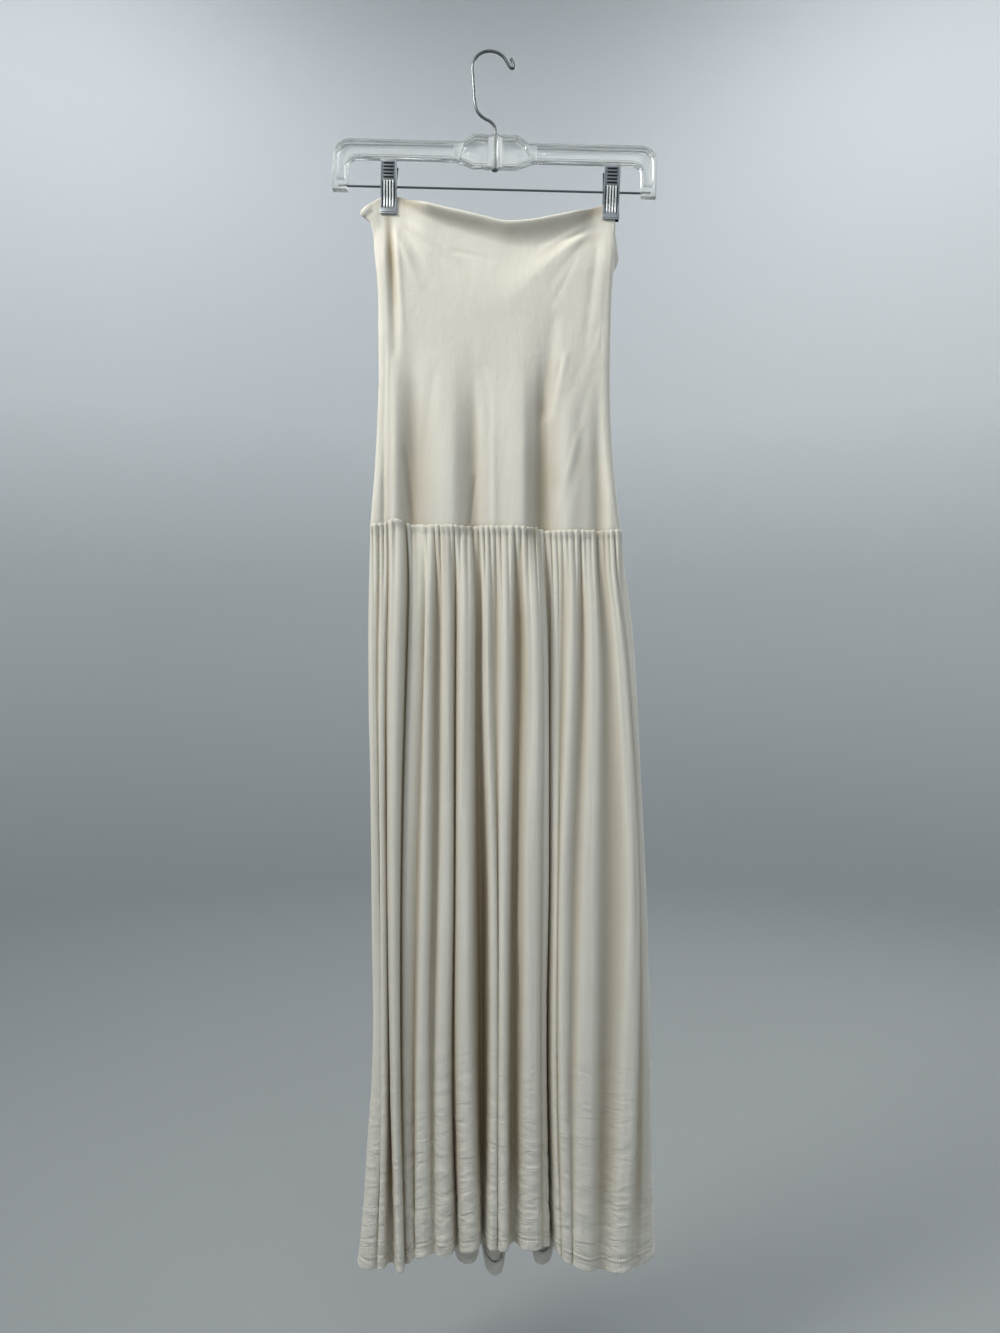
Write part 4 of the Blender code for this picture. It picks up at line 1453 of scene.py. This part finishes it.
        legs = [(6.4, self.rod_z + 13.0), (4.6, self.rod_z + 7.0)]
        half = self.coil_half
        coil = [(x - half, *leg) for leg in legs]
        for share in np.linspace(0.0, 1.0, 12 * self.coil_turns + 1):
            a = math.tau * self.coil_turns * share
            coil.append((x + mix(-half, half, share), self.coil_radius * math.cos(a),
                         self.rod_z + self.coil_radius * math.sin(a)))
        coil += [(x + half, *leg) for leg in legs[::-1]]
        finish_piece(wire_mesh(f"clip_{side}_coil", coil, 0.5, 10, 2), self.spring, STEEL,
                     f"clip_{side}_spring")


# Studio

class Light(NamedTuple):
    """A round soft light: its place, what it faces, its size in m, power in W and colour."""

    name: str
    at: tuple[float, float, float]
    aim: tuple[float, float, float]
    size: float
    power: float
    colour: str
    spread: float = 180.0


@dataclass
class Studio:
    """Pale round studio: floor swept up all round, soft lights, and the camera."""

    floor_z: float = -1.47
    floor_radius: float = 2.6
    sweep: float = 1.2
    top_z: float = 3.4
    camera_at: tuple[float, float, float] = (0.01102, -1.103, -0.6763)
    lens: float = 27.04

    def build(self) -> None:
        """Make the floor, the lights and the camera."""
        self.build_floor()
        self.build_lights()
        self.build_camera()

    def build_floor(self) -> None:
        """Spin the floor's profile round the upright axis."""
        bm = bmesh.new()
        profile = [(x, self.floor_z) for x in (0.0, 0.6, 1.4, self.floor_radius)]
        for a in np.radians(np.arange(1, 13) * 7.5):
            profile.append((self.floor_radius + self.sweep * math.sin(a),
                            self.floor_z + self.sweep * (1.0 - math.cos(a))))
        profile.append((self.floor_radius + self.sweep, self.top_z))
        verts = [bm.verts.new((x, 0.0, z)) for x, z in profile]
        edges = [bm.edges.new(pair) for pair in zip(verts, verts[1:])]
        bmesh.ops.spin(bm, geom=verts + edges, cent=(0, 0, 0), axis=(0, 0, 1), angle=math.tau,
                       steps=72, use_merge=True)
        bmesh.ops.remove_doubles(bm, verts=bm.verts, dist=0.0001)
        bmesh.ops.recalc_face_normals(bm, faces=bm.faces)
        mesh = mesh_of(bm, "studio_floor")
        floor = bpy.data.objects.new("studio_floor", mesh)
        bpy.context.scene.collection.objects.link(floor)
        m, shader, place = new_material("matt_studio_paint")
        # Painted shade: the paint grows darker from the top of the sweep down to the floor,
        # standing in for the light falling off towards the bottom
        up = ranged(m, add_node(m, "SeparateXYZ", {0: place}).outputs["Z"], self.floor_z, 0.5)
        m.node_tree.links.new(blend(m, up, "#9CA1A4", "#EEF2F4"), shader.inputs["Base Color"])
        shader.inputs["Roughness"].default_value = 0.9
        mesh.materials.append(m)

    def build_lights(self) -> None:
        """Soft key from the upper left, fills from the front and back, and a dim sky."""
        lights = [
            Light("key", (-1.22, -0.74, 0.76), (0.0, 0.0, -0.12), 0.7, 11.6, "#FFFCF2", 115.0),
            Light("front_fill", (0.3, -1.7, 1.3), (0.0, 0.0, -0.2), 1.0, 5.0, "#FFFCF2"),
            Light("back_key", (1.2, 1.1, 0.6), (0.0, 0.0, -0.5), 0.8, 13.0, "#FFFCF4"),
        ]
        for k in range(6):
            a = math.tau * (k + 0.5) / 6
            x, y = math.sin(a), math.cos(a)
            lights.append(Light(f"wall_wash_{k}", (2.3 * x, 2.3 * y, 2.2),
                                (3.8 * x, 3.8 * y, 0.15), 1.4, 15.5, "#F8FAFD"))
        for light in lights:
            data = bpy.data.lights.new(light.name, "AREA")
            data.shape, data.size, data.energy = "DISK", light.size, light.power
            data.spread = math.radians(light.spread)
            data.color = linear(light.colour)[:3]
            lamp = bpy.data.objects.new(light.name, data)
            lamp.location = light.at
            lamp.visible_camera = False
            way = Vector(light.aim) - Vector(light.at)
            lamp.rotation_euler = way.to_track_quat("-Z", "Y").to_euler()
            bpy.context.scene.collection.objects.link(lamp)
        world = bpy.data.worlds.new("studio_sky")
        bpy.context.scene.world = world
        world.use_nodes = True
        sky = world.node_tree.nodes["Background"]
        sky.inputs["Color"].default_value = linear("#E6EDF2")
        sky.inputs["Strength"].default_value = 0.22
        bpy.context.scene.view_settings.view_transform = "Standard"

    def build_camera(self) -> None:
        """Level camera at the photograph's place and angle."""
        data = bpy.data.cameras.new("camera")
        data.sensor_width, data.lens = 36.0, self.lens
        data.clip_start, data.clip_end = 0.01, 50.0
        camera = bpy.data.objects.new("camera", data)
        camera.location = self.camera_at
        camera.rotation_euler = (math.radians(90.0), 0.0, 0.0)
        bpy.context.scene.collection.objects.link(camera)
        bpy.context.scene.camera = camera


def main() -> None:
    """Build the dress, its hanger and the studio."""
    logging.basicConfig(level=logging.INFO, format="%(message)s")
    jersey = ViscoseJersey().build()
    hemmed = ViscoseJersey(name="cream_viscose_jersey_hemmed", stitched=True).build()
    hanger = Hanger(
        styrene=ClearStyrene().build(),
        wire=PlatedSteel("nickel_plated_wire", "#7D8185", "#5D6165", 0.24, 0.36).build(),
        rod=PlatedSteel("zinc_plated_rod", "#777C80", "#575C60", 0.3, 0.45).build(),
        plate=PlatedSteel("zinc_plated_clip", "#A4AAB0", "#868C92", 0.34, 0.55).build(),
        # White steel on the ribs is a painted highlight
        rib_painted_highlight=PlatedSteel("clip_rib_painted_highlight", "#FFFFFF", "#EEF1F6", 0.4, 0.6).build(),
        spring=PlatedSteel("spring_wire", "#8D9194", "#6F7376", 0.25, 0.4).build(),
        # Dark steel for the slot bars and the inner faces of the clips is painted shade
        clip_painted_shade=PlatedSteel("clip_inside_painted_shade", "#3B3E41", "#26282A", 0.6, 0.8).build(),
    )
    bodice = Bodice(jersey)
    skirt = Skirt(hemmed, bodice)
    for part in Part:
        bodice.build(part)
        skirt.build(part)
    hanger.build()
    Studio().build()


if __name__ == "__main__":
    main()
